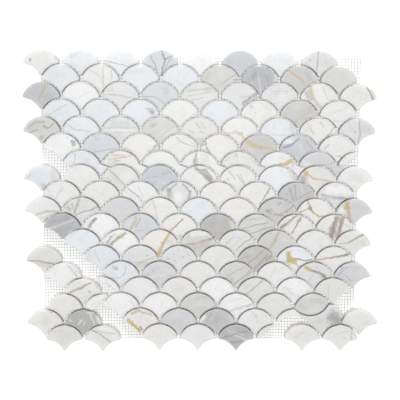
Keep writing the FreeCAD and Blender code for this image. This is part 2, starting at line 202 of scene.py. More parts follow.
UPPER_BLOCK: dict[int, tuple[Stone, ...]] = {
    2: (
        stone(PALE_BLUE, (GREY, -6, 6, 6, 9, 5, 0.07)),
        stone(
            WHITE, (BEIGE, 2.5, 15.5, 2.5, -8, 1.7, 0.5), (BLUE, 9, 12, 9, 5, 1.6, 0.4),
            (BEIGE, -9, 12, 1, 6, 1.6, 0.3),
        ),
        stone(PALE_BLUE, (GREY, -9, 10, 2, 12, 3, 0.12)),
        stone(PALE_BLUE, (GREY, -4, 4, 4, -2, 2, 0.12)),
        stone(
            ASH, (BEIGE, -13, 3, -8, 12, 4, 0.5), (BROWN, 1, 1.5, 13, 9, 0.8, 0.45),
            (GREY, 4, 3, 13, 10, 0.6, 0.6), (DARK, 11, 4.5, 14.5, 5, 1.2, 0.7),
            (WHITE, -1, 12, 3, 8, 6, 0.25), (BEIGE, -4, 0, 4, 2, 2, 0.35),
        ),
        stone(
            SLATE, (DARK, -10, 4, -2, 12, 4, 0.3), (WHITE, -2, 12, 1, -4, 0.9, 0.5),
            (WHITE, 4, 14, 9, 3, 0.7, 0.35), (DARK, 5, 9, 9, 2, 4, 0.3),
            (WHITE, 14.5, 12, 14.5, 0, 4, 0.6), (WHITE, -9, 8, -7, 3, 0.8, 0.4),
        ),
        stone(
            MID_GREY, (GOLD, -10, 13.5, -1, 7, 1.5, 0.8), (GOLD, -1, 7.5, 3, 3, 1.5, 0.75),
            (BEIGE, 3, 3.5, 8, -4, 2.2, 0.7), (GREY, 5, 12, 12, 3, 1.6, 0.3),
            (WHITE, 10, 13, 15, 5, 1.2, 0.4),
        ),
        stone(GREEN_GREY),
    ),
    3: (
        stone(
            STEEL, (BEIGE, 4.6, 15, -3, -1, 3, 0.6), (BROWN, 3.4, 13, -2, 0, 0.8, 0.35),
            (BEIGE, -12, 2, -3, 2, 3, 0.3), (BLUE, 6, 3, 12, 7, 5, 0.2),
        ),
        stone(BRIGHT, (GREY, -5, 1.5, 9, 9.5, 0.6, 0.25)),
        stone(
            PALE_GREY, (BROWN, -15, 6.5, 0, 6, 0.9, 0.45), (BROWN, 0, 6, 15, 2.5, 0.9, 0.45),
            (WHITE, -6, 12, 6, 12, 5, 0.35), (BLUE, -9, 11, -5, 9, 3, 0.2),
            (BEIGE, -13, 9.5, -6, 9, 0.7, 0.4),
        ),
        stone(
            COOL_GREY, (GREY, -15, 5, -4, 5, 0.9, 0.65), (GREY, -4, 5, 4, -2, 0.9, 0.6),
            (BLUE, 2, 11, 8, 6, 5, 0.3), (GREY, 1, 12, 5, 12, 1, 0.3), (BLUE, 6, 2, 10, 4, 4, 0.2),
        ),
        stone(
            PALE_GREY, (BEIGE, -12, 9, 12, 13, 2.2, 0.6), (BEIGE, -12, 5, 8, 9, 1, 0.6),
            (BROWN, -9, 1.5, 4, 4.5, 0.6, 0.45), (BEIGE, 3, 12, 13, 9, 4, 0.4),
            (WHITE, 2, 4, 12, 5, 4, 0.4),
        ),
        stone(
            PALE_GREY, (DARK, 2, -1, 9, 5, 2, 0.55), (DARK, 8, 4.5, 16, 8, 2, 0.6),
            (GREY, 5, 0, 15, 5, 2.4, 0.55), (BLUE, 0, 6, 4, 4, 2, 0.4),
            (GREY, 3, 4.5, 16, 9.5, 0.6, 0.5),
        ),
        stone(
            PALE_GREY, (GREY, -4.5, 9.5, 7, 9.8, 0.8, 0.5), (GREY, -5, 7.5, 6, 8, 0.6, 0.35),
            (GREY, -8, -1, 3, 1, 0.7, 0.35), (BLUE, 7, 10, 6, 7.5, 0.8, 0.4),
            (PALE_BLUE, -2, 4, 8, 5, 9, 0.8),
        ),
        stone(
            WHITE, (GREY, -11, 12, -6, 1, 6, 0.55), (GOLD, -8.5, 14.5, -5.5, 6, 1.8, 0.7),
            (BEIGE, -5.5, 6.5, 2, -5, 2.6, 0.75), (BROWN, -6.5, 5, -1, -4, 0.6, 0.5),
            (GREY, 3, 13, 9, 1, 0.6, 0.4),
        ),
        stone(
            WARM_WHITE, (BROWN, 6.5, 14, 11, 6.5, 1.3, 0.7), (BROWN, 11, 7, 12.5, 2, 1.7, 0.75),
            (BEIGE, 10, 12, 15, 5, 3, 0.4), (GREY, 9, 12, 9.5, 4, 0.5, 0.3),
        ),
    ),
    4: (
        stone(
            PALE_BLUE, (GREY, -10, 4, 5, 12.5, 0.7, 0.5), (BEIGE, -12, 5, -6, 2, 1.4, 0.2),
            (GREY, -6, 1, 2, 5, 0.5, 0.25),
        ),
        stone(PALE_BLUE, (BEIGE, -2, 12, 1.5, 4.5, 0.8, 0.35)),
        stone(
            PALE_BLUE, (GREY, 6, 9.5, 13, 5, 4.6, 0.5), (DARK, 8, 6.5, 12, 5.5, 2, 0.4),
            (GREY, 4, 10, 8, 8, 1.2, 0.4), (WHITE, 10, 13, 15, 10, 2, 0.3),
        ),
        stone(WHITE, (GREY, 8, 2, 14.5, 6.5, 0.6, 0.45), (LILAC, -2, 9, 4, 6, 6, 0.2)),
        stone(PALE_BLUE, (GREY, -4, 3, 8, 4, 0.6, 0.1)),
        stone(
            WARM_WHITE, (DARK, -3.5, 6.5, -2.5, 5.5, 1.4, 0.4), (GREY, -8, 12.5, -5, 10, 2, 0.35),
            (BEIGE, 4, 12, 10, 8, 3, 0.25), (GREY, -5, 3.5, -3, 3, 1, 0.3),
            (BEIGE, 2, 2, 6, 3, 1.2, 0.25),
        ),
        stone(
            MID_GREY, (GOLD, -5, -2, 9, 6.5, 0.9, 0.75), (BEIGE, 5, 5.5, 14, 9, 3, 0.5),
            (WHITE, 8, 2, 12, 3, 4, 0.2), (DARK, 4, 1, 12, 3, 0.8, 0.3),
            (WHITE, -8, 12, 4, 13, 7, 0.2), (BROWN, 11, 14, 15.5, 7, 1.2, 0.45),
        ),
        stone(
            WHITE, (GREY, -6, 6, 7, 10.5, 0.7, 0.3), (GREY, -3, -1, 5, -1, 0.6, 0.55),
            (BEIGE, 3, 11, 11, 13, 2, 0.15),
        ),
    ),
    5: (
        stone(
            ASH, (BROWN, -12, 6, -6, 11.5, 2.4, 0.35), (BROWN, -6, 12, 3, 11.5, 2, 0.35),
            (BROWN, 1, 8, 6, 6.5, 1.6, 0.5), (BROWN, 6, 6.5, 11, 11.5, 1.6, 0.45),
            (BROWN, -11, 2.5, -3, 5.5, 1.2, 0.5), (DARK, -2, 0, 1, -3, 4, 0.3),
        ),
        stone(
            PALE_BLUE, (GREY, -11, 9.5, -6, 5.5, 0.8, 0.5), (BROWN, -6, 5.5, 9, 3.8, 0.8, 0.45),
            (WHITE, -6, 12, 8, 12, 6, 0.5),
        ),
        stone(
            PALE_GREY, (BEIGE, -14, 7.5, 12, 7, 1.2, 0.6), (WHITE, -12, 5.2, 13, 5, 2.2, 0.7),
            (BEIGE, -12, 3.4, 9, 3.2, 0.9, 0.5), (BLUE, -8, 11, 8, 11, 5, 0.25),
            (GREY, -6, 0, 6, -2, 5, 0.2), (BEIGE, 10, 9, 15, 4, 2, 0.3),
        ),
        stone(
            ASH, (BEIGE, -5, 1, 9, 12, 0.8, 0.6), (WHITE, -3, 1, 11, 12, 0.6, 0.6),
            (BEIGE, 1, 0.5, 13.5, 9.5, 0.8, 0.65), (WHITE, 4, 1, 14, 8, 1, 0.55),
            (DARK, -8, 8, -3, 11, 2, 0.3), (DARK, -9, 2, -5, 4, 1, 0.2),
        ),
        stone(
            WARM_GREY, (GREY, -4, 12, 1, 7, 1.6, 0.4), (GREY, -9, 6, -5, 3, 1.4, 0.4),
            (BEIGE, 1, 12, 5, 6, 2.4, 0.35), (GREY, -4, -3, 5, -4, 4, 0.35),
            (GREY, -12, 3, -7, 1, 0.8, 0.4), (DARK, 0, 5, 4, 2.5, 1.4, 0.35),
        ),
        stone(
            WHITE, (GOLD, -15.5, 7, -12, 3, 2.4, 0.55), (BEIGE, -12, 3.5, -4, 3.5, 1.4, 0.6),
            (GOLD, -5, 5, 2, 3, 2.6, 0.5), (GOLD, 2, 4, 4, -3, 2.2, 0.65),
            (BEIGE, -2, 3, 2, 2, 4, 0.4),
        ),
        stone(
            PALE_BLUE, (GREY, -5, 2, 6, 2, 0.8, 0.35), (GREY, 10, 13, 13, 3, 4, 0.28),
            (BEIGE, 7, 8, 9, 5, 1.2, 0.2),
        ),
        stone(
            WARM_WHITE, (GREY, -8, 8, -3, 3, 1.5, 0.4), (BROWN, -2, -8, 7, 1, 0.8, 0.6),
            (BROWN, 6, 0, 14.5, 9, 0.9, 0.6), (GREY, 1, 13, 5, 9, 1.2, 0.35),
            (GREY, -1, -8, 10, 3, 0.6, 0.4), (BEIGE, -12, 5, -6, 11, 3, 0.25),
        ),
        stone(
            PALE_GREY, (DARK, 1.5, 15, 1.5, -10, 0.9, 0.5), (DARK, -3.5, 5.5, -1.5, 4, 1.8, 0.35),
            (GREY, 8, 13, 8, 1, 11, 0.18), (BLUE, -6, 9, -4, 6, 4, 0.2),
        ),
    ),
    6: (
        stone(
            BRIGHT, (DARK, 7.5, 11.5, 11.5, 6, 3.2, 0.6), (GREY, 3, 13, 6, 12, 1, 0.25),
            (GREY, -13, 6, -10, 9, 0.8, 0.15),
        ),
        stone(
            COOL_GREY, (GREY, -4, 1.2, 13, 5, 1.1, 0.5), (BLUE, -9, 6, -3, 9, 5, 0.12),
            (GREY, -8, 0, -4, 2, 1.6, 0.3), (GREY, -6, 11, 0, 12, 2, 0.2),
        ),
        stone(
            WARM_WHITE, (BROWN, -14, 5, -7, 1.5, 2, 0.4), (GREY, 10, 3, 14, 7.5, 2.2, 0.5),
            (GREY, 6, 1.5, 12, 3, 1.6, 0.4), (DARK, 11, 5.5, 13.5, 6, 1, 0.35),
        ),
        stone(
            WARM_WHITE, (GREY, -3, 13.5, 2, 9, 1.3, 0.45), (GREY, 2, 9.5, 14, 5, 1, 0.55),
            (DARK, 7, 14.5, 16, 6.5, 0.8, 0.55), (BRIGHT, 9, 13.5, 15.5, 7.5, 1.7, 0.75),
            (GREY, 8, 11, 14, 6, 0.7, 0.4), (BEIGE, -14, 2, -6, 4, 1.6, 0.3),
        ),
        stone(
            WARM_WHITE, (DARK, -15, 7, -11, 9.5, 1.3, 0.6), (DARK, -11.5, 11.5, -11, 5, 1.3, 0.5),
            (DARK, -11, 5.5, -7.5, 0, 1.8, 0.55), (BEIGE, -14, 4, -11, 2, 1.6, 0.4),
            (BRIGHT, -14, 11, -13, 8, 2, 0.5),
        ),
        stone(
            MID_GREY, (GOLD, -11.5, 10.5, -3, 8, 2.8, 0.75), (GOLD, -4, 8.5, 3, 5.5, 2.2, 0.8),
            (GOLD, 2, 6, 12.5, 4.5, 2, 0.75), (DARK, -6, 7, 5, 3.2, 0.6, 0.45),
            (WHITE, -10, 2, -4, 3, 5, 0.25), (BROWN, 3, 13, 8, 12, 1, 0.15),
        ),
        stone(
            BLUE_GREY, (BRIGHT, -9, 14, -8, 8, 9, 0.9), (DARK, 1, 13.5, -6, 7.5, 1.2, 0.6),
            (DARK, -6, 7.5, -14, 5, 1.7, 0.65), (GREY, 6, 12, 12.5, 5, 1.5, 0.5),
            (WHITE, 1, 9, 5, 2, 3, 0.25), (BROWN, -6, 9, 0, 12.5, 0.6, 0.35),
        ),
        stone(
            WHITE, (GREY, -11, 5, -7, 8.5, 1.4, 0.5), (DARK, 0, -1, 4, -1.5, 1, 0.4),
            (GREY, 8, 13, 13, 8, 2, 0.15),
        ),
    ),
}
SEAM_ROW: dict[int, tuple[Stone, ...]] = {
    7: (
        stone(
            PALE_BLUE, (GREY, -5.5, 14, -8, -8, 1.1, 0.4), (WARM_WHITE, -11, 9, -12, -2, 5, 0.7),
            (BLUE, 2, 10, 9, 6, 6, 0.2),
        ),
        stone(
            WARM_WHITE, (GOLD, -11, 9.5, -3, 8.5, 2.4, 0.45), (BEIGE, -8, 13, 4, 12.5, 2.6, 0.5),
            (BROWN, -5, 10, 4, 11.5, 0.8, 0.5), (BROWN, 4, 11, 10, 13.5, 0.9, 0.45),
            (GREY, -13, 6, -4, 7.2, 0.9, 0.45), (BROWN, -4, 8, 0, 8.5, 1, 0.5),
        ),
        stone(WHITE, (GREY, -15, 4, -9, 0.5, 1.2, 0.35), (GREY, -9, 11, -4, 13, 1.4, 0.15)),
        stone(
            WHITE, (DARK, -3, 16, -4.5, 2, 1.8, 0.6), (GREY, -5, 10, -5.5, 2, 1.8, 0.6),
            (COOL_WHITE, -11, 9, -9, 0, 6, 0.5), (BEIGE, 4, 14, 6, 3, 8, 0.3),
            (GREY, 3, 15, 7, 12, 1, 0.35), (DARK, -1.5, 10, -2, 3, 1, 0.4),
        ),
        stone(
            WARM_GREY, (DARK, -14.5, 7, -10, 2, 1.3, 0.5), (GREY, -13, 8, -7, 12, 1, 0.4),
            (DARK, -2.5, 14.5, -1.5, 11, 1.4, 0.35), (GREY, 10, 12, 14, 5, 0.8, 0.35),
            (GREY, -10.5, 2, -5, -6, 1, 0.45), (WHITE, -2, 8, 6, 4, 6, 0.4),
        ),
        stone(
            WHITE, (GOLD, 1, 5.2, 7, 6.3, 2.4, 0.95), (GOLD, 5.5, 6, 12.5, 9.5, 3.6, 0.95),
            (BEIGE, 0, 12.5, 5, 10, 1.3, 0.35), (GREY, 11, 4, 15, 7, 1.6, 0.4),
            (BEIGE, 12, 8, 14, 2, 1.6, 0.3),
        ),
        stone(
            LILAC, (WHITE, -12, 8, -6, 3, 4, 0.5), (GREY, 2, 4.5, 14, 7.5, 1, 0.5),
            (GREY, 9, 4, 14, 1, 5, 0.3), (BROWN, -2, 4, 6, 5.5, 0.6, 0.35),
        ),
    ),
}
LOWER_BLOCK: dict[int, tuple[Stone, ...]] = {
    8: (
        stone(
            PALE_BLUE, (GREY, -14, 4, -8, 9, 1.4, 0.3), (BEIGE, 9, 12, 12, 3, 5, 0.3),
            (BROWN, 2, 0, 0, -5, 1.6, 0.4), (BLUE, -4, 2, 4, -3, 5, 0.2),
        ),
        stone(WHITE),
        stone(
            PALE_GREY, (BROWN, -10, 13, -3, 6.5, 1.6, 0.45), (BROWN, -3.5, 6.5, 5, -2, 1.6, 0.45),
            (GREY, -13, 6, -7, 3, 1.2, 0.35), (COOL_WHITE, 4, 12, 8, 3, 7, 0.5),
            (BEIGE, -6, 6, 0, 0, 2, 0.3),
        ),
        stone(
            BLUE_GREY, (GREY, -13, 5, -2, 7, 1, 0.4), (WHITE, 4, 2, 4, -4, 1, 0.45),
            (DARK, 2, 9, 10, 11, 2, 0.15), (DARK, -8, 0, -3, 3, 2, 0.15),
            (WHITE, 3, 6.5, 6, 6.5, 0.6, 0.3),
        ),
        stone(
            WARM_WHITE, (DARK, -4, 16, 12, 2, 2.8, 0.5), (DARK, 4, 12.5, 14, -2, 4.6, 0.45),
            (BROWN, 7, 9, 12, 3, 2, 0.4), (DARK, -3, 14, 5, 12, 1.6, 0.4),
            (BRIGHT, 9, 13.5, 14.5, 7, 2.2, 0.5), (DARK, 7, 12, 12, 5, 1, 0.4),
        ),
        stone(
            WARM_WHITE, (GREY, -8.5, 12, -2, 4.5, 1.1, 0.5), (GREY, -1, 9, 5, 1.5, 1.4, 0.5),
            (GREY, 1.5, 9.5, 7, -1, 1, 0.4), (GREY, -9, 7, -8, 3, 0.9, 0.35),
            (GREY, -13, 3, -9, 5, 1.2, 0.3),
        ),
        stone(
            COOL_WHITE, (BEIGE, 10, 13, 13.5, 4, 2.4, 0.4), (DARK, 12.5, 12.5, 15, 5, 0.9, 0.35),
            (BEIGE, 2, 13, 6, 12, 2, 0.2),
        ),
        stone(
            WARM_GREY, (GOLD, -13, 14.5, -8.5, 10, 2.6, 0.8),
            (GOLD, -10.5, 10.8, -6.5, 9.6, 4, 0.9), (GOLD, -9.5, 9.8, 0, 5.5, 1.5, 0.85),
            (GOLD, 0, 5.5, 7, 5, 1.4, 0.75), (GOLD, 7, 5, 15, 2.5, 1.4, 0.75),
            (DARK, -13, 9, -9.5, 0, 5.4, 0.5),
        ),
        stone(WHITE, (BEIGE, -6, 8, 6, 6, 6, 0.12)),
    ),
    9: (
        stone(WHITE, (GREY, -5, 1, 1, 12, 1.8, 0.25), (GREY, -12, 11, -10, 4, 1.2, 0.2)),
        stone(WARM_WHITE, (BEIGE, -7, 9.5, 9, 1.5, 0.7, 0.3), (BEIGE, 2, 8, 8, 11, 4, 0.12)),
        stone(
            WHITE, (BROWN, -11, 11.5, -3, 4.5, 1.2, 0.5), (BROWN, -3, 4.5, 2, -1, 1.2, 0.45),
            (GREY, -1, 12.5, 3, -3, 0.8, 0.4), (BEIGE, -13, 9, -6, 3, 2, 0.25),
        ),
        stone(
            PALE_GREY, (DARK, -2, 14.5, -9, 9, 1.6, 0.5), (DARK, -9.5, 11, -9, 2, 2.8, 0.5),
            (DARK, 3, 14.5, 9, 8, 1.8, 0.5), (DARK, 9, 9.5, 8, 1, 2.6, 0.5),
            (GREY, -7, 9, -6, 2, 3, 0.45), (BRIGHT, -1, 9, 0, -3, 6, 0.6),
        ),
        stone(WARM_WHITE, (GREEN_GREY, -10, 3, 4, 8, 6, 0.2)),
        stone(
            WARM_WHITE, (DARK, 2, -3, 7, 4, 1.4, 0.55), (DARK, 6.5, 4, 11, 12.5, 1.2, 0.6),
            (GREY, -2, 3, 4, 8, 4, 0.1),
        ),
        stone(
            STEEL, (DARK, -6.5, 12, -2, 0, 1.5, 0.35), (DARK, -2, 14, 0, 2, 1.2, 0.3),
            (BROWN, 1, 2, 12.5, 8.5, 1, 0.5), (WHITE, 4, 13, 6, 4, 1, 0.3),
            (DARK, 10, 14, 15, 7, 1.2, 0.35), (WHITE, -12, 7, -10, 3, 1, 0.3),
        ),
        stone(
            PALE_GREY, (DARK, -12.5, 6.5, -9.5, 4.5, 2, 0.45), (GREY, -10, 4, 14, 2.4, 3.4, 0.5),
            (DARK, -9, 5.2, 12, 2.5, 0.7, 0.5), (BRIGHT, -9, 10.5, 14, 10, 8, 0.9),
            (GREY, -4, -1, 6, -1, 0.8, 0.4),
        ),
    ),
    10: (
        stone(
            WHITE, (BROWN, -6, 1, 4, 4.5, 1.8, 0.4), (BROWN, 4, 4.5, 14, 4, 2.2, 0.45),
            (BEIGE, -2, -2, 10, 1, 2.4, 0.35), (GREY, 7, 11, 9, 9, 1.4, 0.2),
        ),
        stone(
            PALE_GREY, (BROWN, -1.5, 15.5, -6, 3, 2.2, 0.55), (BEIGE, -13, 5, -9, 9, 6, 0.6),
            (BROWN, -8, 12, -7, 6, 1.2, 0.4), (DARK, -5, 1.5, 4, 5, 1.1, 0.5),
            (DARK, 4, 5, 13.5, 8.5, 1.1, 0.55), (GREY, -12, 9, -9, 5, 1.5, 0.35),
        ),
        stone(LILAC),
        stone(
            WARM_WHITE, (BEIGE, -7, 14, -2, 7, 1.6, 0.4), (GREY, -5, 13, -1, -6, 0.8, 0.4),
            (BEIGE, -15, 4, -8, 11, 1.6, 0.3), (GREY, 4, 10, 8, 7, 0.6, 0.15),
        ),
        stone(PALE_BLUE, (GREY, -2, 8, 6, 12, 5, 0.08), (WHITE, -11, 10, -6, 13, 4, 0.25)),
        stone(WARM_WHITE, (BEIGE, -6, 8, 8, 10, 5, 0.12)),
        stone(
            MID_GREY, (BROWN, -9.5, 5, -4, 7.5, 2, 0.75), (BROWN, -7, 6.5, -5, 2.5, 1.4, 0.5),
            (BROWN, -3, 3, 7, 1.5, 1.2, 0.65), (BROWN, 1, 1.5, 14, 9, 1, 0.65),
            (DARK, 0, 10.5, 4, 12.5, 1.5, 0.45), (WARM_WHITE, -6, 11, 8, 5, 7, 0.25),
        ),
        stone(
            WARM_WHITE, (GOLD, -7.5, 14.5, -5, 9, 1.6, 0.9), (BROWN, -6, 10, -4, 6.5, 2.8, 0.9),
            (BROWN, -5.5, 8.7, -14.5, 4, 1.1, 0.7), (BROWN, -4.5, 8, -1.5, 4.2, 1.6, 0.8),
            (GOLD, -2, 4.8, 3.5, 0.8, 1.9, 0.95), (GOLD, 3, 1, 7.5, 1.5, 1.7, 0.9),
        ),
        stone(
            LILAC, (BRIGHT, -13, 9, -9, 3, 5, 0.85), (GOLD, -6, 15, -6.5, 7, 3.4, 0.9),
            (GOLD, -9.5, 8.6, -4, 8.4, 2.2, 0.85), (GOLD, -5.5, 10, -4.5, -2, 2.6, 0.9),
            (BEIGE, -3, 1, -2, -4, 2.4, 0.5),
        ),
    ),
    11: (
        stone(
            SLATE, (WHITE, -10, 4, 9, 11, 1.4, 0.4), (WHITE, -13, 2.5, -5, 4.5, 1.8, 0.45),
            (DARK, -9, 9, 6, 13, 3, 0.18), (DARK, -8, 0, 8, 5, 3, 0.16),
            (WHITE, 8, 11.5, 12, 10.5, 1, 0.35),
        ),
        stone(
            BRIGHT, (DARK, -3.5, 13, -7, 9.5, 2.2, 0.65), (DARK, -6, 11, -11, 4.5, 2.4, 0.6),
            (BROWN, -8, 6.5, -12, 2, 1.4, 0.45), (DARK, -11, 4, -14, 3, 1.2, 0.4),
            (COOL_GREY, -12, 9, -10, 7, 2, 0.4),
        ),
        stone(
            COOL_GREY, (BEIGE, -3, 15, -6, 7, 2.4, 0.9), (BEIGE, -6, 8, -8.5, 2, 2, 0.9),
            (OLIVE, 0, 13, -4, 4, 1, 0.6), (GREY, -4, 1.5, 10, 4, 0.8, 0.35),
            (BLUE, 4, 10, 10, 5, 6, 0.25), (LILAC, -11, 9, -9, 4, 4, 0.4),
        ),
        stone(
            WARM_WHITE, (BROWN, 3.5, 12.5, -5, 4.5, 1.1, 0.85), (GOLD, -5, 4.5, -10, -1, 2, 1),
            (DARK, -2, -4, 3, -3, 4, 0.35), (BEIGE, -14, 5, -11, 3, 1.5, 0.3),
        ),
        stone(
            DARK_GREY, (GOLD, 5.5, 12.5, 8, 7, 1.8, 0.65), (GOLD, 8, 7, 2, -1, 1.4, 0.55),
            (BEIGE, 6, 7, 5, 10, 3, 0.35), (PALE_GREY, 11, 11, 13.5, 4, 3.4, 0.6),
            (DARK, -8, 6, -2, 10, 5, 0.12), (BEIGE, 4, 4, 3, 0, 3, 0.3),
        ),
        stone(
            ASH, (GREY, -13, 3.5, -2, 7.5, 1.1, 0.75), (GREY, -2, 7.5, 10, 9.5, 1.1, 0.75),
            (GREY, -4, 0, 8, 5, 1.3, 0.8), (BROWN, 7, 4.5, 14, 6.5, 1.1, 0.5),
            (GREY, -6, 11.5, 8, 14, 0.8, 0.35), (WHITE, -4, 9.5, 6, 11, 1.8, 0.35),
        ),
        stone(
            WARM_WHITE, (BROWN, 1, 16, -13.5, 4, 1.8, 0.85), (BROWN, -8, 8.5, -13.5, 3.5, 2.8, 0.6),
            (BEIGE, -3, 13, -8, 8, 4, 0.45), (BROWN, 4.5, 14.5, -3, 0, 1.2, 0.8),
            (BROWN, 4, 14, 1.5, 10, 2, 0.5),
        ),
        stone(
            WARM_WHITE, (BROWN, 2, 16, -3.5, -6, 4.4, 0.8), (DARK, 1.5, 14, -3, -3, 1.1, 0.4),
            (BROWN, 7.5, 16, 2.5, -5, 3.4, 0.8), (DARK, 6.5, 13, 4, 2, 1, 0.35),
            (BROWN, -1.5, 7, -3.5, -5, 5.5, 0.5), (GREY, 9.5, 8, 14.5, 3.5, 0.8, 0.5),
        ),
    ),
    12: (
        stone(COOL_WHITE, (BLUE, -6, 6, 4, 9, 7, 0.12)),
        stone(
            BRIGHT, (OLIVE, 4.5, 14.5, -2, 9, 2.6, 0.85), (OLIVE, -2, 9.5, -9, 3, 2.4, 0.85),
            (DARK, -8, 11, -11, 5, 2, 0.5), (BLUE, -3, 12.5, -8, 10.5, 2, 0.4),
            (GREY, -10, 6, -14, 2, 2, 0.45), (COOL_GREY, -5, 10, -8, 8, 3, 0.4),
        ),
        stone(
            WARM_WHITE, (GOLD, 9.5, 14.5, 3.5, 5.5, 2.2, 0.95), (GOLD, 3.5, 6, 1, 1, 3, 0.95),
            (GOLD, 1, 1.5, -1, -9, 3.2, 1), (MID_GREY, 10, 10, 8, 2, 6.4, 0.6),
            (BROWN, 6, 9, 3, 4, 0.7, 0.5),
        ),
        stone(
            ASH, (BROWN, -14, 3, -3, 4.5, 2, 0.9), (GOLD, -3, 4.5, 4, 7, 2.4, 1),
            (BROWN, 4, 7, 14.5, 10, 2, 0.85), (TAUPE, -14, -1, 10, 4, 7, 1),
            (BRIGHT, -7, 13, 8, 13.5, 4, 0.7), (BEIGE, -14, 4.5, -6, 5, 1.2, 0.5),
        ),
        stone(
            PALE_GREY, (BROWN, -1, -1, 6, 5.5, 1, 0.7), (BROWN, 6, 5.5, 13, 11, 1, 0.7),
            (BEIGE, -13, 1, -3, 12, 1.2, 0.6), (GREY, 9, 3, 14, 6, 1, 0.35),
            (BEIGE, -6, 1, 4, 10, 1, 0.35), (BRIGHT, -6, 11, 2, 14, 2, 0.3),
        ),
        stone(
            ASH, (OLIVE, 2, 15, -1, 7, 2.2, 0.55), (OLIVE, -1, 8, -5.5, -1, 2.2, 0.5),
            (BEIGE, -13, 6, -8, 10.5, 2.4, 0.35), (BROWN, -6, 13, -3, 14, 0.8, 0.3),
            (WHITE, 5, 10, 11, 5, 5, 0.15),
        ),
        stone(WHITE, (GREY, 2, 2, 8, 6, 5, 0.07)),
        stone(
            GREEN_WHITE, (OLIVE, 9, 13.5, 1, 9.5, 1.6, 0.9), (OLIVE, 1, 9.5, -5, 6, 1.3, 0.85),
            (GREY, -5, 6, -13, 5, 1.1, 0.5), (WHITE, -6, 11, 0, 13, 4, 0.35),
            (BEIGE, 5, 6, 12, 5, 4, 0.2),
        ),
    ),
    13: (
        stone(
            PALE_BLUE, (GREY, -5.5, 11.5, -1, 2, 0.7, 0.4), (BEIGE, -14, 4.5, -11, 8.5, 2, 0.35),
            (PALE_GREY, -9, 10, -7, 4, 9, 0.5),
        ),
        stone(
            PALE_GREY, (GREY, -13, 2.5, 2, 2.5, 0.9, 0.5), (OLIVE, 0, 2.5, 8, 5, 1.2, 0.45),
            (OLIVE, 8, 5, 16, 8, 1.2, 0.4), (BEIGE, -4, 0, 8, 1.5, 4, 0.5),
            (DARK, 5, 7.5, 7.5, 8, 1, 0.4), (DARK, -10, 4.5, -8, 4.5, 0.9, 0.3),
        ),
        stone(
            PALE_GREY, (DARK, -5.5, 9.5, -3.5, 8, 1.8, 0.35), (DARK, -10, 6, -7.5, 4.5, 1.2, 0.4),
            (GREY, 2, 7.5, 4.5, 6, 1.6, 0.45), (DARK, -1, 13.5, 1, 12, 1.3, 0.3),
            (DARK, -5, 4, -3, 3, 1, 0.4), (GREY, 7, 9.5, 10, 7.5, 1.6, 0.35),
        ),
        stone(GREEN_WHITE, (GREEN_GREY, -4, 4, 4, 4, 9, 0.5), (GREY, 4, 7, 6, 6, 1.2, 0.2)),
        stone(
            TAUPE, (BROWN, -7, 1, 0, 7.5, 1, 0.55), (BROWN, 0, 7.5, 7, 14.5, 1.1, 0.55),
            (BROWN, 8, 4.5, 15, 9.5, 1.8, 0.65), (BROWN, -2, -4, 10, 10, 1.2, 0.55),
            (DARK, -14, 5.5, -4, 8.5, 0.9, 0.3), (WHITE, -8, 10, -2, 13, 3, 0.2),
        ),
        stone(
            COOL_WHITE, (GOLD, -6.8, 12.5, -4.5, 4, 3.8, 1), (GOLD, -8.5, 5, 2.5, 3, 5.4, 1),
            (BROWN, -1, 6, 8, 5, 1.2, 0.8), (BROWN, 8, 5, 16, 5.3, 1.3, 0.8),
            (GOLD, 1, 2, 6.5, -4, 1.4, 0.6), (GREY, -14.5, 3.5, -5, 3.5, 0.9, 0.45),
        ),
        stone(
            WHITE, (GOLD, -15, 5.7, -5, 6.3, 1.5, 0.9), (BROWN, -5, 6.3, 3, 7.8, 1.4, 0.85),
            (BROWN, 3, 7.8, 14.5, 10.5, 1.7, 0.9), (GREY, -13, 10, -11, 8, 1, 0.25),
        ),
    ),
    14: (
        stone(
            PALE_BLUE, (BLUE, -8, 11.5, -2, 11, 3, 0.6), (GREY, -6, 9.5, -2, 10, 1.6, 0.4),
            (GREY, 4.5, 13.5, 3, 5, 0.8, 0.5), (GREY, -14.5, 5, -9.5, 2, 1, 0.5),
            (GREY, -9.5, 2, 0, 2.5, 0.8, 0.45), (GREY, 0, 2.5, 4, 6, 0.8, 0.35),
        ),
        stone(
            LILAC, (BLUE, -7, 10, -3, 8, 4, 0.5), (WHITE, -8, 2.5, 8, 6, 2, 0.4),
            (DARK, -13, 4, -8, 6.5, 1.4, 0.3), (WHITE, 2, 10, 10, 8, 2.4, 0.25),
            (BEIGE, 5, 6, 11, 3, 1.8, 0.35), (WHITE, -12, 8, -9, 10, 1.4, 0.3),
        ),
        stone(WARM_WHITE, (GREY, 7, 2.5, 11.5, 9.5, 0.8, 0.3)),
        stone(
            ASH, (BROWN, -3, -3, 6, 4, 1, 0.6), (BROWN, 6, 4, 13, 9, 1, 0.6),
            (GREY, -9, 4, 8, 13.5, 1, 0.5), (DARK, -5.5, 2.5, -3.5, 1, 1.6, 0.35),
            (BROWN, 2, 3, 13, 11, 0.7, 0.4), (WHITE, -2, 1, 8, 9, 1.2, 0.3),
        ),
        stone(WHITE, (GREY, 0, 12, -5, 3, 0.7, 0.35)),
        stone(
            PALE_GREY, (GOLD, -8.5, 13.5, -2.5, 8.8, 2.4, 1),
            (BROWN, -2.5, 8.8, 4.5, 7.3, 2.1, 0.9), (BROWN, 4.5, 7.3, 10.5, 2.5, 2.6, 0.85),
            (GREY, -1, 5, -6, -1, 0.8, 0.45), (BLUE, 0, 12, 4, 12, 2.4, 0.4),
            (BRIGHT, -8, 5, -9, 2, 4, 0.4),
        ),
        stone(
            LILAC, (DARK, -13.5, 5, -8, 10, 1.5, 0.35), (GREY, -10, 11, -4, 13, 1.6, 0.3),
            (DARK, -4, 3, -1, 0.5, 1.8, 0.4), (DARK, -8, 6, -3, 4, 0.9, 0.3),
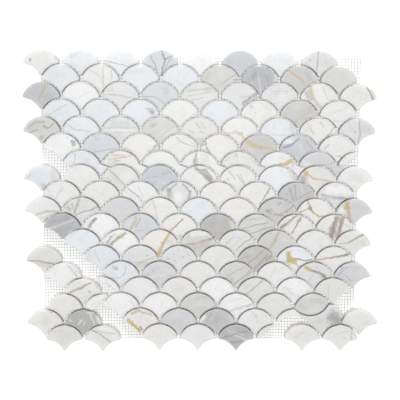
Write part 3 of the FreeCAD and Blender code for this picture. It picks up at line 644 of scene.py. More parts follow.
            (WHITE, 2, 10, 10, 6, 6, 0.3),
        ),
    ),
    15: (
        stone(WHITE, (COOL_WHITE, -4, 6, 4, 10, 8, 0.3)),
        stone(WARM_WHITE, (BEIGE, -6, 6, 6, 8, 7, 0.2)),
        stone(BRIGHT, (BEIGE, 2, 6, 8, 3, 5, 0.1)),
        stone(
            WARM_GREY, (BROWN, 6, 15, -1, 8, 1.1, 0.55), (BROWN, -1, 8, -9, 1, 1.2, 0.5),
            (GREY, -10, 7, -5, 10.5, 1.1, 0.25), (GREEN_GREY, 6, 6, 10, 2, 7, 0.3),
        ),
        stone(
            BRIGHT, (BLUE, -10, 9, -1, 2, 4.4, 0.22), (BLUE, -2, 3, 8, -5, 4, 0.2),
            (GREY, 10.5, 6.5, 12.5, 5, 1.3, 0.45), (BRIGHT, 0, 10, 8, 7, 5, 0.4),
        ),
        stone(GREEN_WHITE, (GREY, -3, 10.5, -4, 0, 0.7, 0.3), (GREEN_GREY, 2, 7, 10, 5, 7, 0.25)),
    ),
    16: (
        stone(BRIGHT, (GREY, 8, 10, 12.5, 3.5, 0.8, 0.4), (BEIGE, 12.5, 4, 15, 8, 1.6, 0.35)),
        stone(BRIGHT, (LILAC, -2, 8, 4, 5, 6, 0.15)),
        stone(
            ASH, (WHITE, -8, 4, 4, 8, 4, 0.18), (DARK, -2, 12, 8, 14, 2, 0.12),
            (WHITE, 6, 8, 12, 3, 3, 0.2), (DARK, 9, 2, 14.5, 5, 1.5, 0.3),
        ),
        stone(
            BRIGHT, (GREY, -7, 0.5, 4, 4, 1.6, 0.4), (GREY, 4, 4, 13, 8, 1.6, 0.4),
            (BROWN, 8, 4.5, 14.5, 9, 1, 0.35), (GREY, -9, 9, 6, 12.5, 1.2, 0.2),
        ),
        stone(GREEN_WHITE, (WHITE, -8, 12, -3, 6, 4, 0.15)),
    ),
    17: (
        stone(
            WARM_WHITE, (GOLD, -11.5, 8, -8.5, 3.5, 2.6, 0.9), (GOLD, -9, 4.5, -3, -2, 3.4, 1),
            (BROWN, -4, -3, 2.5, -0.5, 3, 0.7), (GOLD, -2, -1, -1, -7, 3.4, 1),
            (BEIGE, -8, 12, 0, 15, 2, 0.9), (GOLD, -1, 15, 10, 11, 1.6, 0.7),
        ),
        stone(LILAC, (BLUE, -8, 3, 4, 6, 5, 0.2), (WHITE, -10, 8, 2, 11, 5, 0.15)),
        stone(
            STEEL, (BRIGHT, -15, 4, -10, 10.5, 2.2, 0.85), (DARK, -5, 13, -9, 6, 2.4, 0.22),
            (WHITE, 2.5, 10, 2, -1, 0.7, 0.35), (PALE_GREY, 10, 11, 14, 4, 2.4, 0.5),
            (DARK, -4, 8, 4, 4, 9, 0.15), (BLUE, 0, 9, 6, 6, 7, 0.12),
        ),
        stone(WHITE, (GREY, -3, 13.5, 2, 9, 2, 0.25), (BEIGE, 2, 4, 9, 7, 4, 0.15)),
    ),
    18: (
        stone(WARM_WHITE),
        stone(WHITE, (LILAC, -6, 8, 8, 6, 9, 0.2), (GREY, 3, 2, 11, 4.5, 1, 0.35)),
        stone(
            DARK_GREY, (WHITE, -3, 7.5, 12, 3, 1.1, 0.55), (WHITE, -7, 11, 8, 8, 0.9, 0.4),
            (DARK, -14, 4, -2, 8, 1.3, 0.45), (DARK, -2, 9, 10, 11, 1.3, 0.35),
            (WHITE, 4, 4.5, 13, 1, 0.9, 0.5), (DARK, -8, 0, 6, 2, 2, 0.35),
        ),
    ),
}
# The stones of the chips that stand by themselves, by row and column.
LEFT_CORNER: dict[tuple[int, int], Stone] = {
    (13, 0): stone(
        WARM_GREY, (BROWN, -14.5, 4.5, -4, 4, 1, 0.65), (BROWN, -4, 4, 3, 2.5, 1.2, 0.65),
        (BROWN, 3, 2.5, 10, 2, 1.2, 0.6), (BEIGE, -8, 2, 4, 0.5, 3, 0.4),
        (PALE_GREY, -9, 13, 6, 14, 2.5, 0.5),
    ),
    (14, 0): stone(
        BRIGHT, (GREY, 3.5, 14.5, 8, 9.5, 1.2, 0.5), (GREY, 8, 9.5, 12, 4.5, 1.3, 0.55),
        (GREY, 6, 14.5, 14.5, 6, 0.8, 0.5), (BLUE, -8, 3, -6, 10.5, 0.9, 0.25),
        (COOL_GREY, 6, 12, 11, 7, 2, 0.3),
    ),
    (15, 1): stone(
        WARM_WHITE, (OLIVE, 7.5, 13, -1, 8.5, 1.7, 0.8), (OLIVE, -1, 8.5, -11.5, 4, 2, 0.75),
        (GREY, 4.5, 6, 7, 4.5, 1.6, 0.5), (GREY, 10, 12.5, 14.5, 5, 0.9, 0.45),
        (GREY, 5, 3, 8, 4, 1, 0.3), (BROWN, -4, 7, 4, 11, 0.7, 0.35),
    ),
    (16, 0): stone(WARM_WHITE, (PALE_GREY, -8, 9, 4, 12, 6, 0.3)),
    (17, 0): stone(WARM_WHITE, (BROWN, 5, 15, 7, 14, 1.2, 0.55), (BEIGE, -4, 7, 6, 6, 6, 0.15)),
    (17, 1): stone(
        DARK_GREY, (BRIGHT, -12.5, 8, -10, 6, 1.4, 0.6), (BRIGHT, -4.5, 3.5, -1, 8, 1.3, 0.6),
        (BRIGHT, 6, 13, 9, 4.5, 1.7, 0.6), (BRIGHT, 12.5, 13, 14.5, 4, 3.4, 0.65),
        (BRIGHT, 3, 14.5, 13, 13.5, 1.4, 0.55), (BRIGHT, 0, 3, 1.5, 6, 1, 0.5),
    ),
    (18, 0): stone(
        WARM_GREY, (GREY, -3.5, 12.5, -1, 11.5, 1.2, 0.25), (GREY, 8, 11.5, 10, 10, 1, 0.25),
        (GREEN_GREY, -6, 4, 8, 6, 8, 0.4),
    ),
    (18, 1): stone(
        WARM_WHITE, (DARK, -10.5, 14, -2, 8, 1.1, 0.5), (DARK, -2, 8, 7, 1.5, 1.1, 0.5),
        (GREY, -9.5, 13.5, -1, 10.5, 1, 0.55), (GREY, -1, 10.5, 10.5, 9.5, 1, 0.5),
        (PALE_GREY, -8, 6, 2, 2, 6, 0.4), (BRIGHT, -2, 14.5, 8, 13, 2, 0.5),
    ),
}
RIGHT_CORNER: dict[tuple[int, int], Stone] = {
    (17, 8): stone(WARM_WHITE, (WHITE, -8, 9, 0, 12, 5, 0.35), (BEIGE, 2, 5, 10, 4, 4, 0.15)),
    (18, 6): stone(WARM_WHITE, (GREY, -8, 4.5, 2, 10.5, 2, 0.2), (GREEN_GREY, 2, 3, 8, 6, 5, 0.2)),
    (18, 7): stone(
        WARM_WHITE, (GREY, 9.5, 12.5, 10, 3, 0.8, 0.5), (GREY, 3, 5.5, 5, 4, 1.2, 0.4),
        (GREY, -4, 9.5, 6, 10.5, 0.8, 0.25), (GREY, 10, 9, 13, 8, 0.7, 0.3),
    ),
}
# The stones of the offcuts and odd chips, by CAD node.
SINGLES: dict[str, Stone] = {
    "seam_offcut": stone(WHITE, (GREY, -12, 4, -9, 8, 2.4, 0.2)),
    "band_offcut": stone(BRIGHT, (GREY, 3, 13, 9, 7.5, 1.6, 0.25)),
    "left_corner_offcut": stone(BRIGHT, (GREY, -10, 6, -3, 11.5, 1.2, 0.2)),
    "bottom_offcut": stone(GREEN_WHITE, (BEIGE, -11, 8, -5, 11.5, 3, 0.15)),
    "lens_chip": stone(
        GREEN_GREY, (BEIGE, -3, 10, 10, 8.5, 2, 0.45), (GREY, -12, 8, -6, 3, 3, 0.2),
        (GREY, -2, 12, 8, 12, 1.8, 0.25), (DARK, 10, 6, 14, 8.5, 1, 0.3),
        (WHITE, -4, 3, 8, 1, 5, 0.25),
    ),
    "wave_chip": stone(
        PALE_GREY, (DARK, -4.5, 13.5, 10, 3.5, 9.4, 0.55), (BRIGHT, -49, 7, -27, 13, 10, 1),
        (DARK, -6, -1.5, -2, 1, 2.4, 0.35), (GREY, -15, 9, -8, 3, 7, 0.15),
        (DARK, -1, 3, 3, 1, 2, 0.3),
    ),
}
# The first column of the rows that don't start at column 0.
FIRST_COLUMNS: dict[int, int] = {7: 1, 12: 1, 13: 1, 14: 2, 15: 2, 16: 2, 17: 2, 18: 3}


@dataclass(frozen=True)
class ChipForm:
    """The sizes of the chips and of the joints between them, in millimetres."""

    width: float = 31.0
    radius_excess: float = 0.85
    arc_joint: float = 1.4
    side_joint: float = 2.35
    tip_width: float = 1.6
    top_side: float = 0.4
    upper_side: float = 1.83
    lower_side: float = 1.36
    crescent_height: float = 10.73
    crescent_cut: float = 6.2

    @property
    def half_width(self) -> float:
        """Half of a chip's width."""
        return self.width / 2

    @property
    def pitch(self) -> float:
        """From one column of chips to the next."""
        return self.width + self.side_joint

    @property
    def head_radius(self) -> float:
        """The radius of a chip's round head."""
        return self.half_width + self.radius_excess

    @property
    def hollow_radius(self) -> float:
        """The radius of the two hollows, which go round the heads below."""
        return self.head_radius + self.arc_joint

    @property
    def shoulder(self) -> float:
        """How far over its centre a head's curve ends."""
        return math.sqrt(self.head_radius**2 - self.half_width**2)

    @property
    def side_rise(self) -> float:
        """How far over the next row's centres a hollow starts."""
        return math.sqrt(self.hollow_radius**2 - (self.pitch / 2 - self.half_width) ** 2)

    @property
    def tip_rise(self) -> float:
        """How far over the next row's centres a tip ends."""
        return math.sqrt(self.hollow_radius**2 - (self.pitch / 2 - self.tip_width / 2) ** 2)

    def step(self, side: float) -> float:
        """From one row's centres to the next, where the chips' blunt sides have this height."""
        return self.side_rise - self.shoulder + side


@dataclass(frozen=True)
class Cutter:
    """Cuts the outlines of the chips, each anticlockwise and about its chip's centre.

    A curve turns by `turn` degrees from one corner of its outline to the next.
    """

    form: ChipForm
    turn: float = 6.0

    def curve(self, centre: Point, radius: float, start: Point, end: Point, left: bool) -> Outline:
        """Gives the corners of an arc.

        Args:
            centre: The arc's centre.
            radius: Its radius.
            start: A place in the direction in which it starts, seen from the centre.
            end: A place in the direction in which it ends.
            left: Whether it turns left on its way.

        Returns:
            The corners, both ends among them.
        """
        first, last = (
            math.atan2(y - centre[1], x - centre[0]) for x, y in (start, end)
        )
        full = 2 * math.pi
        sweep = (last - first) % full if left else -((first - last) % full)
        count = max(1, round(abs(math.degrees(sweep)) / self.turn))
        bearings = (first + sweep * step / count for step in range(count + 1))
        return [
            (centre[0] + radius * math.cos(b), centre[1] + radius * math.sin(b)) for b in bearings
        ]

    def head(self) -> Outline:
        """Cuts the round head.

        Returns:
            Its curve, from its right foot to its left one.
        """
        form = self.form
        feet = (form.half_width, form.shoulder), (-form.half_width, form.shoulder)
        return self.curve((0, 0), form.head_radius, *feet, True)

    def fan(self, step: float) -> Outline:
        """Cuts a whole chip.

        Args:
            step: How far under its head its hollows are struck, which is one row's step.

        Returns:
            The outline.
        """
        form = self.form
        half_pitch, half_tip = form.pitch / 2, form.tip_width / 2
        side_foot, tip = form.side_rise - step, form.tip_rise - step
        left = self.curve(
            (-half_pitch, -step), form.hollow_radius,
            (-form.half_width, side_foot), (-half_tip, tip), False,
        )
        right = self.curve(
            (half_pitch, -step), form.hollow_radius,
            (half_tip, tip), (form.half_width, side_foot), False,
        )
        return self.head() + left + right

    def crescent(self, tailed: bool = True) -> Outline:
        """A head of the seam row, cut off by the row below.

        Args:
            tailed: Whether it has its tail down the right side.

        Returns:
            The outline.
        """
        form = self.form
        step = form.crescent_height + form.arc_joint
        radius, half_tip = form.hollow_radius, form.tip_width / 2
        cut = form.crescent_cut - form.half_width
        cut_foot = (cut, math.sqrt(radius**2 - cut**2) - step)
        tip = form.tip_rise - step
        if not tailed:
            side = (form.half_width, math.sqrt(radius**2 - form.half_width**2) - step)
            return self.head() + self.curve((0, -step), radius, cut_foot, side, False)
        below = self.curve((0, -step), radius, cut_foot, (form.pitch / 2 - half_tip, tip), False)
        slope = (cut_foot[1] - form.shoulder) / form.crescent_cut
        top = self.slope_end((form.half_width, form.shoulder), slope, (form.pitch, -step), radius)
        beside = self.curve(
            (form.pitch, -step), radius, (form.pitch / 2 + half_tip, tip), top, False
        )
        return self.head() + below + beside

    def lens(self, slip: float, rise: float) -> Outline:
        """Cuts a chip with its head above and the same curve turned over below.

        Args:
            slip: How far to the left the lower curve's centre is.
            rise: How far up it is.

        Returns:
            The outline.
        """
        radius = self.form.head_radius
        turned = (-slip, rise)
        left, right = self.crossing((0, 0), turned, radius), self.crossing(turned, (0, 0), radius)
        above = self.curve((0, 0), radius, right, left, True)
        return above[:-1] + self.curve(turned, radius, left, right, True)[:-1]

    @staticmethod
    def slope_end(start: Point, slope: float, centre: Point, radius: float) -> Point:
        """Finds where a line that slopes to the right from a place first meets a circle.

        Args:
            start: Where the line starts.
            slope: How far it rises for each millimetre to the right.
            centre: The circle's centre.
            radius: The circle's radius.

        Returns:
            The place where they meet.
        """
        x, y = start[0] - centre[0], start[1] - centre[1]
        a, b = 1 + slope**2, x + slope * y
        run = (-b - math.sqrt(b**2 - a * (x**2 + y**2 - radius**2))) / a
        return start[0] + run, start[1] + slope * run

    @staticmethod
    def crossing(one: Point, other: Point, radius: float) -> Point:
        """Finds where two circles of one radius cross.

        Args:
            one: The first circle's centre.
            other: The second circle's centre.
            radius: The radius of both.

        Returns:
            The crossing on the left of the way from one centre to the other.
        """
        run, rise = other[0] - one[0], other[1] - one[1]
        span = math.hypot(run, rise)
        height = math.sqrt(radius**2 - (span / 2) ** 2) / span
        middle = (one[0] + other[0]) / 2, (one[1] + other[1]) / 2
        return middle[0] - rise * height, middle[1] + run * height

    @staticmethod
    def sawn(outline: Outline, angle: float, distance: float) -> Outline:
        """Keeps what lies above a slanting saw line.

        Args:
            outline: The whole piece.
            angle: The saw line's slant, in degrees from level.
            distance: How far over the chip's centre it passes.

        Returns:
            The outline of the offcut.
        """
        up = (-math.sin(math.radians(angle)), math.cos(math.radians(angle)))
        kept: Outline = []
        for one, other in zip(outline, outline[1:] + outline[:1]):
            heights = [x * up[0] + y * up[1] - distance for x, y in (one, other)]
            if heights[0] >= 0:
                kept.append(one)
            if heights[0] * heights[1] < 0:
                share = heights[0] / (heights[0] - heights[1])
                kept.append(tuple(a + (b - a) * share for a, b in zip(one, other)))
        return kept


@dataclass(frozen=True)
class SheetPlan:
    """Where the chips stand, in the CAD's frame.

    Columns are counted from the left and rows down the sheet. The rows are staggered by turns, and
    both rows at the seam are straight. The chips of the lower corners stand on the other stagger.
    """

    form: ChipForm = ChipForm()
    middle_column: int = 4
    seam_row: int = 7
    last_row: int = 18
    lower_slip: float = 0.56
    left_corner_drop: float = 1.4
    right_corner_slip: float = 7.0

    @property
    def seam_step(self) -> float:
        """From the seam row's centres to the next row's."""
        return self.form.crescent_height + self.form.arc_joint

    def height(self, row: int) -> float:
        """Finds how far over the seam row's centres a row's centres are.

        Args:
            row: The row, counted down the sheet.

        Returns:
            The height, less than zero under the seam.
        """
        form = self.form
        if row > self.seam_row:
            return -self.seam_step - form.step(form.lower_side) * (row - self.seam_row - 1)
        steps = self.seam_row - max(row, 2)
        top = form.step(form.top_side) if row == 1 else 0
        return form.step(form.upper_side) * steps + top

    @property
    def origin(self) -> Point:
        """The centre of the seam row's middle chip.

        Returns:
            Its place, measured from the middle of the sheet's outline.
        """
        form = self.form
        half_row = form.pitch * self.middle_column + form.half_width
        right, left = half_row + self.right_corner_slip, -half_row - self.lower_slip
        top = self.height(1) + form.head_radius
        tip = form.step(form.lower_side) - form.tip_rise
        bottom = self.height(self.last_row) - self.left_corner_drop - tip
        return -(left + right) / 2, -(top + bottom) / 2

    def is_staggered(self, row: int) -> bool:
        """Whether a row stands half a pitch to the right."""
        return row % 2 == (0 if row <= self.seam_row else 1)

    def centre(self, row: int, column: int, other: bool = False) -> Point:
        """Gives the centre of a chip's head.

        Args:
            row: The chip's row.
            column: Its column.
            other: Whether it stands on the other stagger, as in the lower corners.

        Returns:
            The centre in the CAD's frame, with no slip or drop.
        """
        stagger = 0.5 if self.is_staggered(row) != other else 0
        across = self.form.pitch * (column - self.middle_column + stagger)
        return self.origin[0] + across, self.origin[1] + self.height(row)

    def lower(self, row: int, column: int) -> Point:
        """The centre of a chip of the main block under the seam."""
        across, up = self.centre(row, column)
        return across - self.lower_slip, up

    def left_corner(self, row: int, column: int) -> Point:
        """The centre of a chip of the lower left corner."""
        across, up = self.centre(row, column, True)
        return across, up - self.left_corner_drop

    def right_corner(self, row: int, column: int) -> Point:
        """The centre of a chip of the lower right corner."""
        across, up = self.centre(row, column, True)
        return across + self.right_corner_slip, up


@dataclass(frozen=True)
class WaveFiller:
    """The one long chip under the lens, whose outline follows its neighbours.

    It lies round the centre of the lens's lower curve. Its height is that of its low end, and its
    roof ends a shoulder's width past the middle of the fan above, where a neck slopes down.
    """

    plan: SheetPlan
    cutter: Cutter
    lens: Point
    height: float = 6.0
    shoulder: float = 2.5
    neck_slope: float = -1.0

    def level(self, centre: Point, up: float, side: float) -> Point:
        """Where the hollow round a place reaches a height, on its left or right side."""
        reach = math.sqrt(self.plan.form.hollow_radius**2 - (up - centre[1]) ** 2)
        return centre[0] + side * reach, up

    def outline(self) -> Outline:
        """Draws the outline in the CAD's frame.

        Returns:
            Its corners anticlockwise, from its lowest tip on.
        """
        plan, form, curve = self.plan, self.plan.form, self.cutter.curve
        radius, half_tip = form.hollow_radius, form.tip_width / 2
        fan, corner = plan.lower(17, 6), plan.right_corner(17, 8)
        left, right = plan.right_corner(18, 6), plan.right_corner(18, 7)
        inner = (fan[0], fan[1] + form.head_radius - self.height - radius)
        tip_up = left[1] + form.tip_rise
        tip = [(left[0] + form.pitch / 2 + side * half_tip, tip_up) for side in (-1, 1)]
        drop = form.step(form.lower_side) - form.tip_rise + form.arc_joint
        roof = plan.lower(15, 6)[1] - drop
        roof_right = (plan.lower(17, 7)[0] + self.shoulder, roof)
        floor = fan[1] + form.shoulder
        crest = (fan[0], fan[1] + form.head_radius)
        left_foot = (fan[0] - form.half_width, floor)
        right_foot = self.cutter.crossing(right, corner, radius)
        neck = self.cutter.slope_end(roof_right, self.neck_slope, corner, radius)
        heel = self.level(inner, floor, -1)
        under_heel = self.cutter.crossing(inner, left, radius)
        return [
            *curve(right, radius, tip[1], right_foot, False),
            *curve(corner, radius, right_foot, neck, False)[1:],
            roof_right,
            *curve(self.lens, radius, self.level(self.lens, roof, 1), crest, False),
            *curve(fan, form.head_radius, crest, left_foot, True)[1:],
            *curve(inner, radius, heel, under_heel, False),
            *curve(left, radius, under_heel, tip[0], False)[1:],
        ]


@dataclass(frozen=True)
class Chip:
    """One chip of stone: its outline about its centre, and its look."""

    centre: Point
    outline: Outline
    stone: Stone


@dataclass
class ChipSolids:
    """Chips of one CAD node, made as one mesh with eased edges.

    Each face carries its chip's stone, so that one material can cut every chip from its own
    piece of marble. The face's edge is rounded in steps of `ease_turns` degrees. Sides shorter
    than `least_side` are left out before the corners wear, and two worn corners take at most
    `wear_share` of what lies between them. A sharp corner moves inwards by at most 1 over
    `mitre_limit` of the distance for each of its sides.
    """

    node: str
    chips: list[Chip]
    thickness: float = 9.5
    bed: float = 0.5
    ease: float = 0.45
    ease_turns: tuple[float, ...] = (0, 30, 60, 90)
    under_ease: float = 0.25
    lippage: float = 0.12
    tilt: float = 0.004
    wear: float = 1.6
    wear_share: float = 0.45
    least_side: float = 0.02
    sharp_turn: float = 30.0
    bend_steps: int = 4
    mitre_limit: float = 0.35
    seed_range: float = 40.0
    points: list[tuple[float, float, float]] = field(default_factory=list)
    faces: list[list[int]] = field(default_factory=list)
    flat: list[bool] = field(default_factory=list)
    owners: list[int] = field(default_factory=list)

    def worn(self, outline: Outline) -> Outline:
        """Rounds the sharp corners of an anticlockwise outline, as tumbling leaves them.

        Args:
            outline: The chip as it was cut.

        Returns:
            The outline with a short curve in place of each sharp corner.
        """
        cut = [
            p for k, p in enumerate(outline) if math.dist(p, outline[k - 1]) > self.least_side
        ]
        count = len(cut)
        sides = [math.dist(cut[k], cut[(k + 1) % count]) for k in range(count)]
        places = list(accumulate(sides, initial=0.0))
        whole = places.pop()
        sharp = [k for k in range(count) if self.turn(cut, k) > self.sharp_turn]
        wear = {}
        for before, here, after in zip(sharp[-1:] + sharp[:-1], sharp, sharp[1:] + sharp[:1]):
            gaps = (places[here] - places[before]) % whole, (places[after] - places[here]) % whole
            wear[here] = min(self.wear, self.wear_share * min(gaps))
        worn: Outline = []
        for k, corner in enumerate(cut):
            if k in wear:
                start, end = (self.walked(cut, k, wear[k], way) for way in (-1, 1))
                worn += self.bend(start, corner, end)
            elif all(
                min((places[k] - places[s]) % whole, (places[s] - places[k]) % whole) > wear[s]
                for s in sharp
            ):
                worn.append(corner)
        return worn

    @staticmethod
    def turn(outline: Outline, k: int) -> float:
        """Measures how far an outline turns left at a corner.

        Args:
            outline: The outline.
            k: The corner's number.

        Returns:
            The turn in degrees, less than zero where it turns right.
        """
        before, here, after = outline[k - 1], outline[k], outline[(k + 1) % len(outline)]
        bearings = [
            math.atan2(end[1] - start[1], end[0] - start[0])
            for start, end in ((before, here), (here, after))
        ]
        return (math.degrees(bearings[1] - bearings[0]) + 180) % 360 - 180

    @staticmethod
    def walked(outline: Outline, k: int, distance: float, way: int) -> Point:
        """Walks along an outline from a corner.

        Args:
            outline: The outline.
            k: The corner's number.
            distance: How far the walk is.
            way: 1 to walk forwards or -1 to walk back.

        Returns:
            The place where the walk ends.
        """
        here, count = outline[k], len(outline)
        while True:
            k = (k + way) % count
            side = math.dist(here, outline[k])
            if distance <= side:
                share = distance / side
                return tuple(a + (b - a) * share for a, b in zip(here, outline[k]))
            distance -= side
            here = outline[k]

    def bend(self, start: Point, corner: Point, end: Point) -> Outline:
        """Draws a short curve past a corner.

        Args:
            start: Where it starts.
            corner: The corner that it rounds.
            end: Where it ends.

        Returns:
            The curve's corners, both ends among them.
        """
        shares = (step / self.bend_steps for step in range(self.bend_steps + 1))
        return [
            tuple(
                (1 - s) ** 2 * a + 2 * s * (1 - s) * b + s**2 * c
                for a, b, c in zip(start, corner, end)
            )
            for s in shares
        ]

    def inset(self, outline: Outline, distance: float) -> Outline:
        """Moves each side of an outline inwards.

        Args:
            outline: The outline, anticlockwise.
            distance: How far its sides move.

        Returns:
            The smaller outline, with as many corners.
        """
        moved = []
        count = len(outline)
        for k in range(count):
            before, here, after = outline[k - 1], outline[k], outline[(k + 1) % count]
            normals = []
            for one, other in ((before, here), (here, after)):
                length = math.dist(one, other)
                normals.append(((one[1] - other[1]) / length, (other[0] - one[0]) / length))
            (ax, ay), (bx, by) = normals
            share = distance / max(self.mitre_limit, 1 + ax * bx + ay * by)
            moved.append((here[0] + (ax + bx) * share, here[1] + (ay + by) * share))
        return moved

    def add(self, owner: int, chip: Chip, dice: random.Random) -> None:
        """Adds one chip: its back, its walls, its eased edge and its honed face.

        Args:
            owner: The chip's number in its node.
            chip: The chip.
            dice: What decides how high it lies and how it tilts.
        """
        outline = self.worn(chip.outline)
        top = self.bed + self.thickness - dice.uniform(0, self.lippage)
        tilt = [dice.uniform(-self.tilt, self.tilt) for _ in range(2)]
        turns = [math.radians(angle) for angle in self.ease_turns]
        rings = [(self.under_ease, self.bed), (0.0, self.bed + self.under_ease)]
        rings += [
            (self.ease * (1 - math.cos(turn)), top - self.ease * (1 - math.sin(turn)))
            for turn in turns
        ]
        first = len(self.points)
        count = len(outline)
        for level, (distance, up) in enumerate(rings):
            lean = 1 if level > 1 else 0
            for x, y in self.inset(outline, distance):
                height = min(up + lean * (x * tilt[0] + y * tilt[1]), self.bed + self.thickness)
                self.points.append((chip.centre[0] + x, chip.centre[1] + y, height))
        self.put(owner, [first + k for k in reversed(range(count))], True)
        for level in range(len(rings) - 1):
            for corners in walls(first + level * count, count):
                self.put(owner, corners, False)
        last = first + (len(rings) - 1) * count
        self.put(owner, [last + k for k in range(count)], True)

    def put(self, owner: int, corners: list[int], flat: bool) -> None:
        """Adds one face of a chip.

        Args:
            owner: The chip's number in its node.
            corners: The numbers of the face's corners.
            flat: Whether it is the flat face or back, not a part of the sides.
        """
        self.faces.append(corners)
        self.flat.append(flat)
        self.owners.append(owner)

    def build(self, material: bpy.types.Material) -> bpy.types.Object:
        """Makes the node's chips.

        Args:
            material: The marble, which reads each face's stone.

        Returns:
            The object, which stands for the CAD node.
        """
        dice = random.Random(self.node)
        for owner, chip in enumerate(self.chips):
            self.add(owner, chip, dice)
        mesh = bpy.data.meshes.new(f"{self.node}_stone")
        mesh.from_pydata([[c * METRES for c in p] for p in self.points], [], self.faces)
        mesh.polygons.foreach_set("use_smooth", [not flat for flat in self.flat])
        self.write_stones(mesh, dice)
        mesh.materials.append(material)
        mesh.validate()
        return place_piece(f"{self.node}_honed", mesh, self.node)

    def write_stones(self, mesh: bpy.types.Mesh, dice: random.Random) -> None:
        """Writes each chip's stone to its faces, for the marble to read.

        Args:
            mesh: The node's mesh.
            dice: What decides which part of the marble a chip is cut from.
        """
        seeds = [dice.uniform(0, self.seed_range) for _ in self.chips]
        columns: dict[str, list[tuple[float, float, float]]] = {
            "chip_place": [(*chip.centre, seed) for chip, seed in zip(self.chips, seeds)],
            "chip_tone": [linear(chip.stone.tone.value)[:3] for chip in self.chips],
        }
        for place in range(MOST_VEINS):
            lines, forms, inks = [], [], []
            for chip in self.chips:
                veins = chip.stone.veins
                vein = veins[place] if place < len(veins) else NO_VEIN
                (x0, y0), (x1, y1) = vein.start, vein.end
                lines.append(((x0 + x1) / 2, (y0 + y1) / 2, -math.atan2(y1 - y0, x1 - x0)))
                forms.append((math.dist(vein.start, vein.end) / 2, vein.width / 2, vein.strength))
                inks.append(linear(vein.ink.value)[:3])
            columns[f"vein_{place}_line"] = lines
            columns[f"vein_{place}_form"] = forms
            columns[f"vein_{place}_ink"] = inks
        for name, values in columns.items():
            attribute = mesh.attributes.new(name, "FLOAT_VECTOR", "FACE")
            flat_values = [level for owner in self.owners for level in values[owner]]
            attribute.data.foreach_set("vector", flat_values)


def walls(low: int, count: int) -> list[list[int]]:
    """Gives the four-sided faces between one ring of corners and the next.

    Args:
        low: The number of the first ring's first corner.
        count: How many corners a ring has.

    Returns:
        The faces, in the order of the corners.
    """
    high = low + count
    following = [(k + 1) % count for k in range(count)]
    return [[low + k, low + n, high + n, high + k] for k, n in enumerate(following)]


def place_piece(name: str, mesh: bpy.types.Mesh, node: str) -> bpy.types.Object:
    """Puts a finished mesh in the scene in place of a CAD node.

    Args:
        name: The piece's name.
        mesh: Its mesh, in metres.
        node: The CAD node that it stands for.

    Returns:
        The piece, which rides on the sheet's one body.
    """
    piece = bpy.data.objects.new(name, mesh)
    bpy.context.scene.collection.objects.link(piece)
    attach(piece, BODY)
    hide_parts(node)
    log.info("%s: %d faces", name, len(mesh.polygons))
    return piece


def add_node(
    tree: bpy.types.NodeTree,
    kind: str,
    settings: dict[str, object] | None = None,
    inputs: dict[str | int, NodeValue] | None = None,
) -> bpy.types.Node:
    """Adds one node to a material.

    Args:
        tree: The material's node tree.
        kind: The node's type, such as "ShaderNodeMath".
        settings: What is set on the node itself.
        inputs: What goes into its sockets: another node's socket, or a fixed value.

    Returns:
        The node.
    """
    node = tree.nodes.new(kind)
    for name, value in (settings or {}).items():
        setattr(node, name, value)
    for socket, value in (inputs or {}).items():
        if isinstance(value, bpy.types.NodeSocket):
            tree.links.new(value, node.inputs[socket])
        else:
            node.inputs[socket].default_value = value
    return node


# The middle of a noise's values.
NOISE_MIDDLE = 0.5

# The sockets of a colour mix node, and the settings that several nodes share.
MIX_FACTOR, MIX_A, MIX_B, MIX_RESULT = 0, 6, 7, 2
COLOURS = {"data_type": "RGBA"}
SMOOTH = {"interpolation_type": "SMOOTHSTEP"}
PRODUCT = {"operation": "MULTIPLY"}
DIFFERENCE = {"operation": "SUBTRACT"}
RATIO = {"operation": "DIVIDE"}
SUM = {"operation": "ADD"}
MAGNITUDE = {"operation": "ABSOLUTE"}
SCALE = {"operation": "SCALE"}
GREATER = {"operation": "MAXIMUM"}


def mapped(
    value: bpy.types.NodeSocket, given: tuple[NodeValue, float], wanted: Span
) -> dict[str, NodeValue]:
    """Gives what goes into a node that maps one range of values to another.

    Args:
        value: What is mapped.
        given: Two of its levels.
        wanted: What these levels become.

    Returns:
        The node's inputs.
    """
    names = ("From Min", "From Max", "To Min", "To Max")
    return {"Value": value, **dict(zip(names, (*given, *wanted)))}


def new_material(name: str) -> tuple[bpy.types.Material, bpy.types.NodeTree]:
    """Starts a material.

    Args:
        name: The material's name.

    Returns:
        The material and its empty node tree.
    """
    material = bpy.data.materials.new(name)
    material.use_nodes = True
    material.node_tree.nodes.clear()
    return material, material.node_tree


